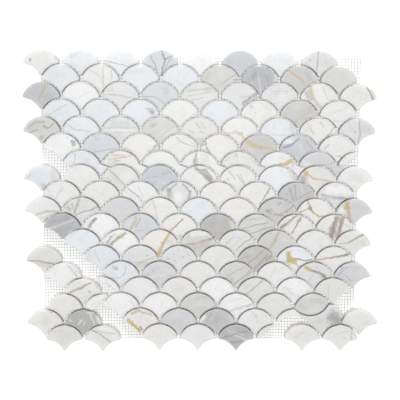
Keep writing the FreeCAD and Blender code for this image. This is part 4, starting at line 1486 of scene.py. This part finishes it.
@dataclass(frozen=True)
class HonedMarble:
    """Calacatta-like marble, sawn and honed to a soft sheen.

    The eye sees a bright, slightly translucent ground, clouds of grey a centimetre or so across,
    hairlines, and veins that wander and change in width. Grain is under a millimetre. The chips'
    sides and back are darkened and warmed, partly as sawdust and old glue and partly as painted
    shade in the joints between the chips. Lengths are in millimetres. Most of a noise's values lie
    in `bulk`.
    """

    name: str = "honed_marble"
    index: float = 1.5
    roughness: float = 0.34
    roughness_spread: float = 0.07
    grain_size: float = 0.9
    relief: float = 0.05
    relief_strength: float = 0.08
    depth: float = 5.0
    depth_weight: float = 0.9
    depth_tint: tuple[float, float, float] = (1.0, 1.0, 0.95)
    seed_spacing: float = 50.0
    bulk: Span = (0.3, 0.7)
    cloud_size: float = 13.0
    cloud_levels: Span = (-0.6, 0.4)
    clouded_tones: Span = (0.45, 0.75)
    cloudiness: Span = (0.16, 0.035)
    hairline_size: float = 16.0
    hairline_reach: float = 0.03
    hairline_strength: float = 0.12
    wander_size: float = 9.0
    wander: float = 2.6
    ripple_size: float = 3.0
    ripple: float = 0.8
    mottle_size: float = 1.3
    mottle_shares: Span = (0.8, 1.15)
    swell_size: float = 2.5
    swell_shares: Span = (0.6, 1.45)
    vein_edge: Span = (0.3, 1.7)
    cloud_shapes: Span = (0.3, 0.7)
    fade_starts: Span = (0.9, 0.1)
    fade_end: float = 1.15
    # Sawdust and glue tint plus painted shade for the joints: the colour that darkens the sides and
    # back, how much of it, and the slopes over which it fades out
    side_dust_and_shade: str = "b4ac9c"
    dust_and_shade_share: float = 0.2
    dust_and_shade_slopes: Span = (0.2, 0.75)

    def build(self) -> bpy.types.Material:
        """Makes the material.

        Returns:
            The marble, which reads the stone of the chip that each face belongs to.
        """
        material, tree = new_material(self.name)
        place = self.attribute(tree, "chip_place")
        local, seeded = self.chip_space(tree, place)
        wandered = self.wandered(tree, local, seeded)
        colour = self.ground(tree, seeded)
        mottle = self.mottle(tree, seeded)
        for number in range(MOST_VEINS):
            colour = self.vein(tree, number, wandered, seeded, mottle, colour)
        # Darkens and warms the sides and back, partly as sawdust and glue and partly as painted
        # shade in the joints.
        colour = self.dust_and_shade_sides(tree, colour)
        grain = add_node(
            tree, "ShaderNodeTexNoise", {},
            {"Vector": seeded, "Scale": 1 / self.grain_size, "Detail": 2.0},
        )
        roughnesses = (
            self.roughness - self.roughness_spread, self.roughness + self.roughness_spread
        )
        gloss = add_node(
            tree, "ShaderNodeMapRange", {}, mapped(grain.outputs["Fac"], (0.0, 1.0), roughnesses)
        )
        bump = add_node(
            tree, "ShaderNodeBump", {},
            {
                "Height": grain.outputs["Fac"],
                "Strength": self.relief_strength,
                "Distance": self.relief * METRES,
            },
        )
        shader = add_node(
            tree, "ShaderNodeBsdfPrincipled", {},
            {
                "Base Color": colour,
                "Roughness": gloss.outputs["Result"],
                "IOR": self.index,
                "Subsurface Weight": self.depth_weight,
                "Subsurface Radius": self.depth_tint,
                "Subsurface Scale": self.depth * METRES,
                "Normal": bump.outputs["Normal"],
            },
        )
        add_node(tree, "ShaderNodeOutputMaterial", {}, {"Surface": shader.outputs["BSDF"]})
        return material

    @staticmethod
    def attribute(tree: bpy.types.NodeTree, name: str) -> bpy.types.NodeSocket:
        """Reads one of the values that a chip's faces carry."""
        node = add_node(tree, "ShaderNodeAttribute", {"attribute_name": name})
        return node.outputs["Vector"]

    def chip_space(
        self, tree: bpy.types.NodeTree, place: bpy.types.NodeSocket
    ) -> tuple[bpy.types.NodeSocket, bpy.types.NodeSocket]:
        """Measures the place on the chip in millimetres.

        Args:
            tree: The material's node tree.
            place: The chip's centre and its seed.

        Returns:
            The place from the chip's centre, plain and moved off by the chip's seed.
        """
        coordinates = add_node(tree, "ShaderNodeTexCoord")
        scaled = add_node(
            tree, "ShaderNodeVectorMath", SCALE,
            {0: coordinates.outputs["Object"], "Scale": 1 / METRES},
        )
        parts = add_node(tree, "ShaderNodeSeparateXYZ", {}, {0: place})
        centre = add_node(
            tree, "ShaderNodeCombineXYZ", {}, {0: parts.outputs["X"], 1: parts.outputs["Y"]}
        )
        local = add_node(
            tree, "ShaderNodeVectorMath", DIFFERENCE, {0: scaled.outputs[0], 1: centre.outputs[0]}
        )
        away = add_node(
            tree, "ShaderNodeMath", PRODUCT, {0: parts.outputs["Z"], 1: self.seed_spacing}
        )
        depth = add_node(tree, "ShaderNodeCombineXYZ", {}, {2: away.outputs[0]})
        seeded = add_node(
            tree, "ShaderNodeVectorMath", SUM, {0: local.outputs[0], 1: depth.outputs[0]}
        )
        return local.outputs[0], seeded.outputs[0]

    def wandered(
        self, tree: bpy.types.NodeTree, local: bpy.types.NodeSocket, seeded: bpy.types.NodeSocket
    ) -> bpy.types.NodeSocket:
        """Bends the chip's space, so that veins wander widely and ripple finely.

        Args:
            tree: The material's node tree.
            local: The place from the chip's centre.
            seeded: The same moved off by the chip's seed, for noise.

        Returns:
            The bent space.
        """
        for size, reach in ((self.wander_size, self.wander), (self.ripple_size, self.ripple)):
            noise = add_node(
                tree, "ShaderNodeTexNoise", {},
                {"Vector": seeded, "Scale": 1 / size, "Detail": 1.0},
            )
            centred = add_node(
                tree, "ShaderNodeVectorMath", DIFFERENCE,
                {0: noise.outputs["Color"], 1: (NOISE_MIDDLE,) * 3},
            )
            scaled = add_node(
                tree, "ShaderNodeVectorMath", SCALE, {0: centred.outputs[0], "Scale": reach}
            )
            moved = add_node(
                tree, "ShaderNodeVectorMath", SUM, {0: local, 1: scaled.outputs[0]}
            )
            local = moved.outputs[0]
        return local

    def mottle(
        self, tree: bpy.types.NodeTree, seeded: bpy.types.NodeSocket
    ) -> bpy.types.NodeSocket:
        """Breaks up the veins, as crystals do.

        Args:
            tree: The material's node tree.
            seeded: The chip's space moved off by its seed.

        Returns:
            How much of a vein shows from place to place.
        """
        noise = add_node(
            tree, "ShaderNodeTexNoise", {},
            {"Vector": seeded, "Scale": 1 / self.mottle_size, "Detail": 3.0},
        )
        shown = add_node(
            tree, "ShaderNodeMapRange", {},
            mapped(noise.outputs["Fac"], self.bulk, self.mottle_shares),
        )
        return shown.outputs["Result"]

    def ground(
        self, tree: bpy.types.NodeTree, seeded: bpy.types.NodeSocket
    ) -> bpy.types.NodeSocket:
        """Colours the chip's ground, with grey hairlines and clouds, stronger if it is darker.

        Args:
            tree: The material's node tree.
            seeded: The chip's space moved off by its seed.

        Returns:
            The ground's colour.
        """
        tone = self.attribute(tree, "chip_tone")
        level = add_node(tree, "ShaderNodeSeparateXYZ", {}, {0: tone})
        cloudiness = add_node(
            tree, "ShaderNodeMapRange", {},
            mapped(level.outputs["X"], self.clouded_tones, self.cloudiness),
        )
        clouds = add_node(
            tree, "ShaderNodeTexNoise", {},
            {"Vector": seeded, "Scale": 1 / self.cloud_size, "Detail": 4.0, "Distortion": 0.6},
        )
        shade = add_node(
            tree, "ShaderNodeMapRange", {},
            mapped(clouds.outputs["Fac"], self.bulk, self.cloud_levels),
        )
        share = add_node(
            tree, "ShaderNodeMath", {"operation": "MULTIPLY_ADD"},
            {0: shade.outputs["Result"], 1: cloudiness.outputs["Result"], 2: 1.0},
        )
        clouded = add_node(
            tree, "ShaderNodeVectorMath", SCALE, {0: tone, "Scale": share.outputs[0]}
        )
        lines = add_node(
            tree, "ShaderNodeTexNoise", {},
            {"Vector": seeded, "Scale": 1 / self.hairline_size, "Detail": 5.0, "Distortion": 1.6},
        )
        middle = add_node(
            tree, "ShaderNodeMath", DIFFERENCE, {0: lines.outputs["Fac"], 1: NOISE_MIDDLE}
        )
        away = add_node(tree, "ShaderNodeMath", MAGNITUDE, {0: middle.outputs[0]})
        ridge = add_node(
            tree, "ShaderNodeMapRange", SMOOTH,
            mapped(away.outputs[0], (0.0, self.hairline_reach), (self.hairline_strength, 0.0)),
        )
        mixed = add_node(
            tree, "ShaderNodeMix", COLOURS,
            {
                MIX_FACTOR: ridge.outputs["Result"],
                MIX_A: clouded.outputs[0],
                MIX_B: linear(GREY.value),
            },
        )
        return mixed.outputs[MIX_RESULT]

    def vein(
        self,
        tree: bpy.types.NodeTree,
        number: int,
        wandered: bpy.types.NodeSocket,
        seeded: bpy.types.NodeSocket,
        mottle: bpy.types.NodeSocket,
        colour: bpy.types.NodeSocket,
    ) -> bpy.types.NodeSocket:
        """Lays one vein of each chip over its colour.

        Args:
            tree: The material's node tree.
            number: Which of the chip's veins it is.
            wandered: The chip's bent space.
            seeded: The chip's space moved off by its seed, for noise.
            mottle: How much of a vein shows from place to place.
            colour: The colour so far.

        Returns:
            The colour with the vein.
        """
        line, form = (
            add_node(
                tree, "ShaderNodeSeparateXYZ", {},
                {0: self.attribute(tree, f"vein_{number}_{kind}")},
            )
            for kind in ("line", "form")
        )
        middle = add_node(
            tree, "ShaderNodeCombineXYZ", {}, {0: line.outputs["X"], 1: line.outputs["Y"]}
        )
        turned = add_node(
            tree, "ShaderNodeVectorRotate", {"rotation_type": "Z_AXIS"},
            {"Vector": wandered, "Center": middle.outputs[0], "Angle": line.outputs["Z"]},
        )
        offset = add_node(
            tree, "ShaderNodeVectorMath", DIFFERENCE, {0: turned.outputs[0], 1: middle.outputs[0]}
        )
        reach = add_node(tree, "ShaderNodeVectorMath", MAGNITUDE, {0: offset.outputs[0]})
        parts = add_node(tree, "ShaderNodeSeparateXYZ", {}, {0: reach.outputs[0]})
        swell = add_node(
            tree, "ShaderNodeTexNoise", {},
            {"Vector": seeded, "Scale": 1 / (self.swell_size + number), "Detail": 2.0},
        )
        swollen = add_node(
            tree, "ShaderNodeMapRange", {},
            mapped(swell.outputs["Fac"], self.bulk, self.swell_shares),
        )
        half_width = add_node(
            tree, "ShaderNodeMath", PRODUCT, {0: form.outputs["Y"], 1: swollen.outputs["Result"]}
        )
        across = add_node(
            tree, "ShaderNodeMath", RATIO, {0: parts.outputs["Y"], 1: half_width.outputs[0]}
        )
        along = add_node(
            tree, "ShaderNodeMath", RATIO, {0: parts.outputs["X"], 1: form.outputs["X"]}
        )
        core = add_node(
            tree, "ShaderNodeMapRange", SMOOTH,
            mapped(across.outputs[0], self.vein_edge, (1.0, 0.0)),
        )
        roundness = add_node(
            tree, "ShaderNodeMath", RATIO, {0: form.outputs["Y"], 1: form.outputs["X"]}
        )
        fade_start = add_node(
            tree, "ShaderNodeMapRange", {},
            mapped(roundness.outputs[0], self.cloud_shapes, self.fade_starts),
        )
        fade = add_node(
            tree, "ShaderNodeMapRange", SMOOTH,
            mapped(along.outputs[0], (fade_start.outputs["Result"], self.fade_end), (1.0, 0.0)),
        )
        share = core.outputs["Result"]
        for factor in (fade.outputs["Result"], form.outputs["Z"], mottle):
            share = add_node(tree, "ShaderNodeMath", PRODUCT, {0: share, 1: factor}).outputs[0]
        ink = self.attribute(tree, f"vein_{number}_ink")
        mixed = add_node(
            tree, "ShaderNodeMix", COLOURS, {MIX_FACTOR: share, MIX_A: colour, MIX_B: ink}
        )
        return mixed.outputs[MIX_RESULT]

    def dust_and_shade_sides(
        self, tree: bpy.types.NodeTree, colour: bpy.types.NodeSocket
    ) -> bpy.types.NodeSocket:
        """Darkens and warms a chip's sides and back, with sawdust and old glue and with painted
        shade for the joints between the chips, and leaves its face clean.

        Args:
            tree: The material's node tree.
            colour: The stone's colour.

        Returns:
            The colour with the sawdust, glue and painted shade.
        """
        faced = add_node(tree, "ShaderNodeNewGeometry")
        parts = add_node(tree, "ShaderNodeSeparateXYZ", {}, {0: faced.outputs["Normal"]})
        # Painted shade and sawdust: full on the walls and back, fading out through the eased edge,
        # none on the face.
        share = add_node(
            tree, "ShaderNodeMapRange", {},
            mapped(parts.outputs["Z"], self.dust_and_shade_slopes, (self.dust_and_shade_share, 0.0)),
        )
        mixed = add_node(
            tree, "ShaderNodeMix", COLOURS,
            {MIX_FACTOR: share.outputs["Result"], MIX_A: colour, MIX_B: linear(self.side_dust_and_shade)},
        )
        return mixed.outputs[MIX_RESULT]


@dataclass(frozen=True)
class GlassFibre:
    """Coated glass fibre yarn.

    It is white, so the net hardly shows on a white table, and the twist of its strands gives a
    fine unevenness. Lengths are in millimetres.
    """

    name: str = "glass_fibre_yarn"
    colour: str = "d9d9d6"
    twist_colour: str = "cfcfcd"
    roughness: float = 0.45
    index: float = 1.5
    strand_size: float = 0.35
    relief: float = 0.1
    relief_strength: float = 0.3

    def build(self) -> bpy.types.Material:
        """Makes the material.

        Returns:
            The yarn.
        """
        material, tree = new_material(self.name)
        coordinates = add_node(tree, "ShaderNodeTexCoord")
        strands = add_node(
            tree, "ShaderNodeTexNoise", {},
            {
                "Vector": coordinates.outputs["Object"],
                "Scale": 1 / (self.strand_size * METRES),
                "Detail": 2.0,
            },
        )
        shade = add_node(
            tree, "ShaderNodeMix", COLOURS,
            {
                MIX_FACTOR: strands.outputs["Fac"],
                MIX_A: linear(self.twist_colour),
                MIX_B: linear(self.colour),
            },
        )
        bump = add_node(
            tree, "ShaderNodeBump", {},
            {
                "Height": strands.outputs["Fac"],
                "Strength": self.relief_strength,
                "Distance": self.relief * METRES,
            },
        )
        shader = add_node(
            tree, "ShaderNodeBsdfPrincipled", {},
            {
                "Base Color": shade.outputs[MIX_RESULT],
                "Roughness": self.roughness,
                "IOR": self.index,
                "Normal": bump.outputs["Normal"],
            },
        )
        add_node(tree, "ShaderNodeOutputMaterial", {}, {"Surface": shader.outputs["BSDF"]})
        return material


@dataclass(frozen=True)
class ThreadNet:
    """The backing: a plain weave of coated threads that cross under and over.

    `middle` is the height between the threads that cross.
    """

    node: str = "mesh_backing"
    mesh_size: float = 2.5
    thread_width: float = 0.38
    thread_height: float = 0.14
    middle: float = 0.25
    crimp: float = 0.1

    def build(self, material: bpy.types.Material) -> bpy.types.Object:
        """Weaves the net in the CAD node's outline.

        Args:
            material: The yarn.

        Returns:
            The net, which stands for the CAD node.
        """
        low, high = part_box(self.node)
        points: list[Vector] = []
        faces: list[list[int]] = []
        size = [(high[axis] - low[axis]) / METRES for axis in (0, 1)]
        counts = [round(length / self.mesh_size) for length in size]
        steps = [length / count for length, count in zip(size, counts)]
        for axis in (0, 1):
            other = 1 - axis
            for thread in range(counts[other] + 1):
                aside = low[other] / METRES + steps[other] * thread
                path = []
                for crossing in range(counts[axis] + 1):
                    over = 1 if (thread + crossing + axis) % 2 else -1
                    along = low[axis] / METRES + steps[axis] * crossing
                    path.append((along, self.middle + self.crimp * over))
                self.weave(points, faces, axis, aside, path)
        mesh = bpy.data.meshes.new("thread_net")
        mesh.from_pydata([p * METRES for p in points], [], faces)
        mesh.polygons.foreach_set("use_smooth", [True] * len(mesh.polygons))
        mesh.materials.append(material)
        return place_piece("thread_net", mesh, self.node)

    def weave(
        self,
        points: list[Vector],
        faces: list[list[int]],
        axis: int,
        aside: float,
        path: list[tuple[float, float]],
    ) -> None:
        """Adds one thread with a flattened four-sided section.

        Args:
            points: The net's points so far.
            faces: The net's faces so far.
            axis: The axis along which it runs.
            aside: Its place along the other axis.
            path: How far along and how high it is at each crossing.
        """
        half_width, half_height = self.thread_width / 2, self.thread_height / 2
        section = ((-half_width, 0), (0, -half_height), (half_width, 0), (0, half_height))
        first, count = len(points), len(section)
        for along, up in path:
            for side, rise in section:
                place = (along, aside + side) if axis == 0 else (aside - side, along)
                points.append(Vector((*place, up + rise)))
        for ring in range(len(path) - 1):
            faces += walls(first + ring * count, count)
        faces.append([first + corner for corner in reversed(range(count))])
        faces.append([len(points) - count + corner for corner in range(count)])


@dataclass(frozen=True)
class Photograph:
    """The camera: where the photograph was taken from, over the sheet and a little to its top."""

    distance: float = 698.5
    lens: float = 72.706
    sensor: float = 36.0
    nearest: float = 10.0
    aim: tuple[float, float, float] = (-2.58, 2.35, 0.5)
    tilt: float = 7.0586
    yaw: float = 0.4029
    roll: float = -0.32

    def build(self) -> None:
        """Places the camera."""
        tilt, yaw, roll = (math.radians(turn) for turn in (self.tilt, self.yaw, self.roll))
        across = Vector(
            (math.cos(yaw), math.sin(tilt) * math.sin(yaw), math.cos(tilt) * math.sin(yaw))
        )
        rise = Vector((0.0, math.cos(tilt), -math.sin(tilt)))
        back = Vector(
            (-math.sin(yaw), math.sin(tilt) * math.cos(yaw), math.cos(tilt) * math.cos(yaw))
        )
        right = math.cos(roll) * across - math.sin(roll) * rise
        up = math.sin(roll) * across + math.cos(roll) * rise
        data = bpy.data.cameras.new("photograph")
        data.lens = self.lens
        data.sensor_width = self.sensor
        data.sensor_fit = "HORIZONTAL"
        data.clip_start = self.nearest * METRES
        camera = bpy.data.objects.new("photograph", data)
        place = (Vector(self.aim) + self.distance * back) * METRES
        turn = Matrix((right, up, back)).transposed().to_4x4()
        camera.matrix_world = Matrix.Translation(place) @ turn
        bpy.context.scene.collection.objects.link(camera)
        bpy.context.scene.camera = camera


@dataclass(frozen=True)
class FarLamp:
    """A big soft lamp, far enough away to light the whole sheet evenly."""

    name: str
    bearing: tuple[float, float, float]
    softness: float
    strength: float

    def build(self) -> None:
        """Hangs the lamp in its bearing from the sheet."""
        data = bpy.data.lights.new(self.name, "SUN")
        data.angle = math.radians(self.softness)
        data.energy = self.strength
        lamp = bpy.data.objects.new(self.name, data)
        bearing = Vector(self.bearing)
        lamp.location = bearing
        lamp.rotation_euler = (-bearing).to_track_quat("-Z", "Y").to_euler()
        bpy.context.scene.collection.objects.link(lamp)


@dataclass(frozen=True)
class Studio:
    """A white table, pale air, and two soft lamps.

    The high lamp shines straight down between the chips, and the low one lights the edges of their
    heads from the side of the sheet's top. The table's light comes up through the net.
    """

    floor_size: float = 3.0
    paper: str = "e6e6e6"
    paper_glow: float = 0.46
    paper_bounce: float = 0.43
    air: float = 0.41
    air_seen: float = 1.0
    lamps: tuple[FarLamp, ...] = (
        FarLamp("high_lamp", (0.0, 0.0, 1.5), 20.0, 0.87),
        FarLamp("low_lamp", (-0.15, 1.5, 1.0), 20.0, 1.2),
    )

    def build(self) -> None:
        """Sets the floor, the world, the lamps and the view transform."""
        self.build_floor()
        self.build_air()
        for lamp in self.lamps:
            lamp.build()
        bpy.context.scene.view_settings.view_transform = "Standard"

    def build_floor(self) -> None:
        """Lays the white table, which glows for the camera and still takes the sheet's shadow."""
        reach = self.floor_size / 2
        corners = [(-reach, -reach, 0), (reach, -reach, 0), (reach, reach, 0), (-reach, reach, 0)]
        mesh = bpy.data.meshes.new("white_table")
        mesh.from_pydata(corners, [], [(0, 1, 2, 3)])
        floor = bpy.data.objects.new("white_table", mesh)
        bpy.context.scene.collection.objects.link(floor)
        material, tree = new_material("white_table_top")
        diffuse = add_node(tree, "ShaderNodeBsdfDiffuse", {}, {"Color": linear(self.paper)})
        glow = add_node(
            tree, "ShaderNodeEmission", {},
            {
                "Color": linear(WHITE_LIGHT),
                "Strength": self.seen_strength(tree, self.paper_glow, self.paper_bounce),
            },
        )
        both = add_node(
            tree, "ShaderNodeAddShader", {},
            {0: diffuse.outputs["BSDF"], 1: glow.outputs["Emission"]},
        )
        add_node(tree, "ShaderNodeOutputMaterial", {}, {"Surface": both.outputs["Shader"]})
        mesh.materials.append(material)

    def build_air(self) -> None:
        """Gives the world an even pale light, and white where it is seen."""
        world = bpy.data.worlds.new("pale_air")
        bpy.context.scene.world = world
        world.use_nodes = True
        tree = world.node_tree
        tree.nodes.clear()
        strength = self.seen_strength(tree, self.air_seen, self.air)
        glow = add_node(
            tree, "ShaderNodeBackground", {},
            {"Color": linear(WHITE_LIGHT), "Strength": strength},
        )
        add_node(tree, "ShaderNodeOutputWorld", {}, {"Surface": glow.outputs["Background"]})

    @staticmethod
    def seen_strength(
        tree: bpy.types.NodeTree, seen: float, unseen: float
    ) -> bpy.types.NodeSocket:
        """Gives a light one strength where it is seen and another where it only lights.

        Args:
            tree: The node tree of the table or of the world.
            seen: The strength for the camera, reflections and clear glass.
            unseen: The strength for all other light.

        Returns:
            The strength.
        """
        path = add_node(tree, "ShaderNodeLightPath")
        shown = path.outputs["Is Camera Ray"]
        for ray in ("Is Glossy Ray", "Is Transmission Ray"):
            either = add_node(tree, "ShaderNodeMath", GREATER, {0: shown, 1: path.outputs[ray]})
            shown = either.outputs[0]
        strength = add_node(
            tree, "ShaderNodeMapRange", {}, mapped(shown, (0.0, 1.0), (unseen, seen))
        )
        return strength.outputs["Result"]


@dataclass(frozen=True)
class Offcut:
    """A piece sawn off a chip's head: its chip's place, the saw line's slant and its depth."""

    node: str
    row: int
    column: int
    slant: float
    depth: float


@dataclass(frozen=True)
class FishScaleSheet:
    """All the chips of the sheet, node by node, each from its own piece of marble."""

    plan: SheetPlan = SheetPlan()
    lens_slip: Point = (2.6, 14.2)

    @property
    def cutter(self) -> Cutter:
        """What cuts the chips' outlines."""
        return Cutter(self.plan.form)

    @staticmethod
    def rows(
        table: dict[int, tuple[Stone, ...]],
        outline: Outline,
        centre: Callable[[int, int], Point],
    ) -> list[Chip]:
        """Sets out whole rows of like chips.

        Args:
            table: The stones of each row, from left to right.
            outline: The chips' outline.
            centre: Gives the centre of a chip from its row and column.

        Returns:
            The chips.
        """
        return [
            Chip(centre(row, FIRST_COLUMNS.get(row, 0) + place), outline, look)
            for row, stones in table.items()
            for place, look in enumerate(stones)
        ]

    def groups(self) -> Iterator[ChipSolids]:
        """Sets out the chips of the whole sheet.

        Yields:
            The chips of one CAD node.
        """
        plan, form, cutter = self.plan, self.plan.form, self.cutter
        sides = form.top_side, form.upper_side, form.lower_side
        top, upper, lower = (cutter.fan(form.step(side)) for side in sides)
        for node, table, outline, centre in (
            ("top_row_chips", TOP_ROW, top, plan.centre),
            ("upper_block_chips", UPPER_BLOCK, upper, plan.centre),
            ("seam_row_chips", SEAM_ROW, cutter.crescent(), plan.centre),
            ("lower_block_chips", LOWER_BLOCK, lower, plan.lower),
        ):
            yield ChipSolids(node, self.rows(table, outline, centre))
        for node, stones, centre in (
            ("left_corner_chips", LEFT_CORNER, plan.left_corner),
            ("right_corner_chips", RIGHT_CORNER, plan.right_corner),
        ):
            chips = [Chip(centre(*place), lower, look) for place, look in stones.items()]
            yield ChipSolids(node, chips)
        for cut, outline, centre in (
            (Offcut("seam_offcut", 7, 8, 45.0, 6.45), cutter.crescent(False), plan.centre),
            (Offcut("band_offcut", 15, 1, -31.0, 6.05), lower, plan.lower),
            (Offcut("left_corner_offcut", 16, 1, 45.0, 8.75), lower, plan.left_corner),
            (Offcut("bottom_offcut", 18, 6, 45.0, 4.75), lower, plan.lower),
        ):
            piece = cutter.sawn(outline, cut.slant, form.head_radius - cut.depth)
            yield self.single(cut.node, centre(cut.row, cut.column), piece)
        lens = plan.lower(16, 7)
        yield self.single("lens_chip", lens, cutter.lens(*self.lens_slip))
        yield self.wave((lens[0] - self.lens_slip[0], lens[1] + self.lens_slip[1]))

    @staticmethod
    def single(node: str, centre: Point, outline: Outline) -> ChipSolids:
        """Sets out a CAD node of one chip."""
        return ChipSolids(node, [Chip(centre, outline, SINGLES[node])])

    def wave(self, lens: Point) -> ChipSolids:
        """Sets out the long chip under the lens.

        Args:
            lens: The centre of the lens's lower curve.

        Returns:
            The one chip, about the middle of the fan above which it lies.
        """
        centre = self.plan.lower(17, 7)
        whole = WaveFiller(self.plan, self.cutter, lens).outline()
        outline = [(x - centre[0], y - centre[1]) for x, y in whole]
        return self.single("wave_chip", centre, outline)


def main() -> None:
    """Builds the camera, the studio, the net and every chip."""
    Photograph().build()
    Studio().build()
    ThreadNet().build(GlassFibre().build())
    marble = HonedMarble().build()
    for group in FishScaleSheet().groups():
        group.build(marble)


if __name__ == "__main__":
    main()
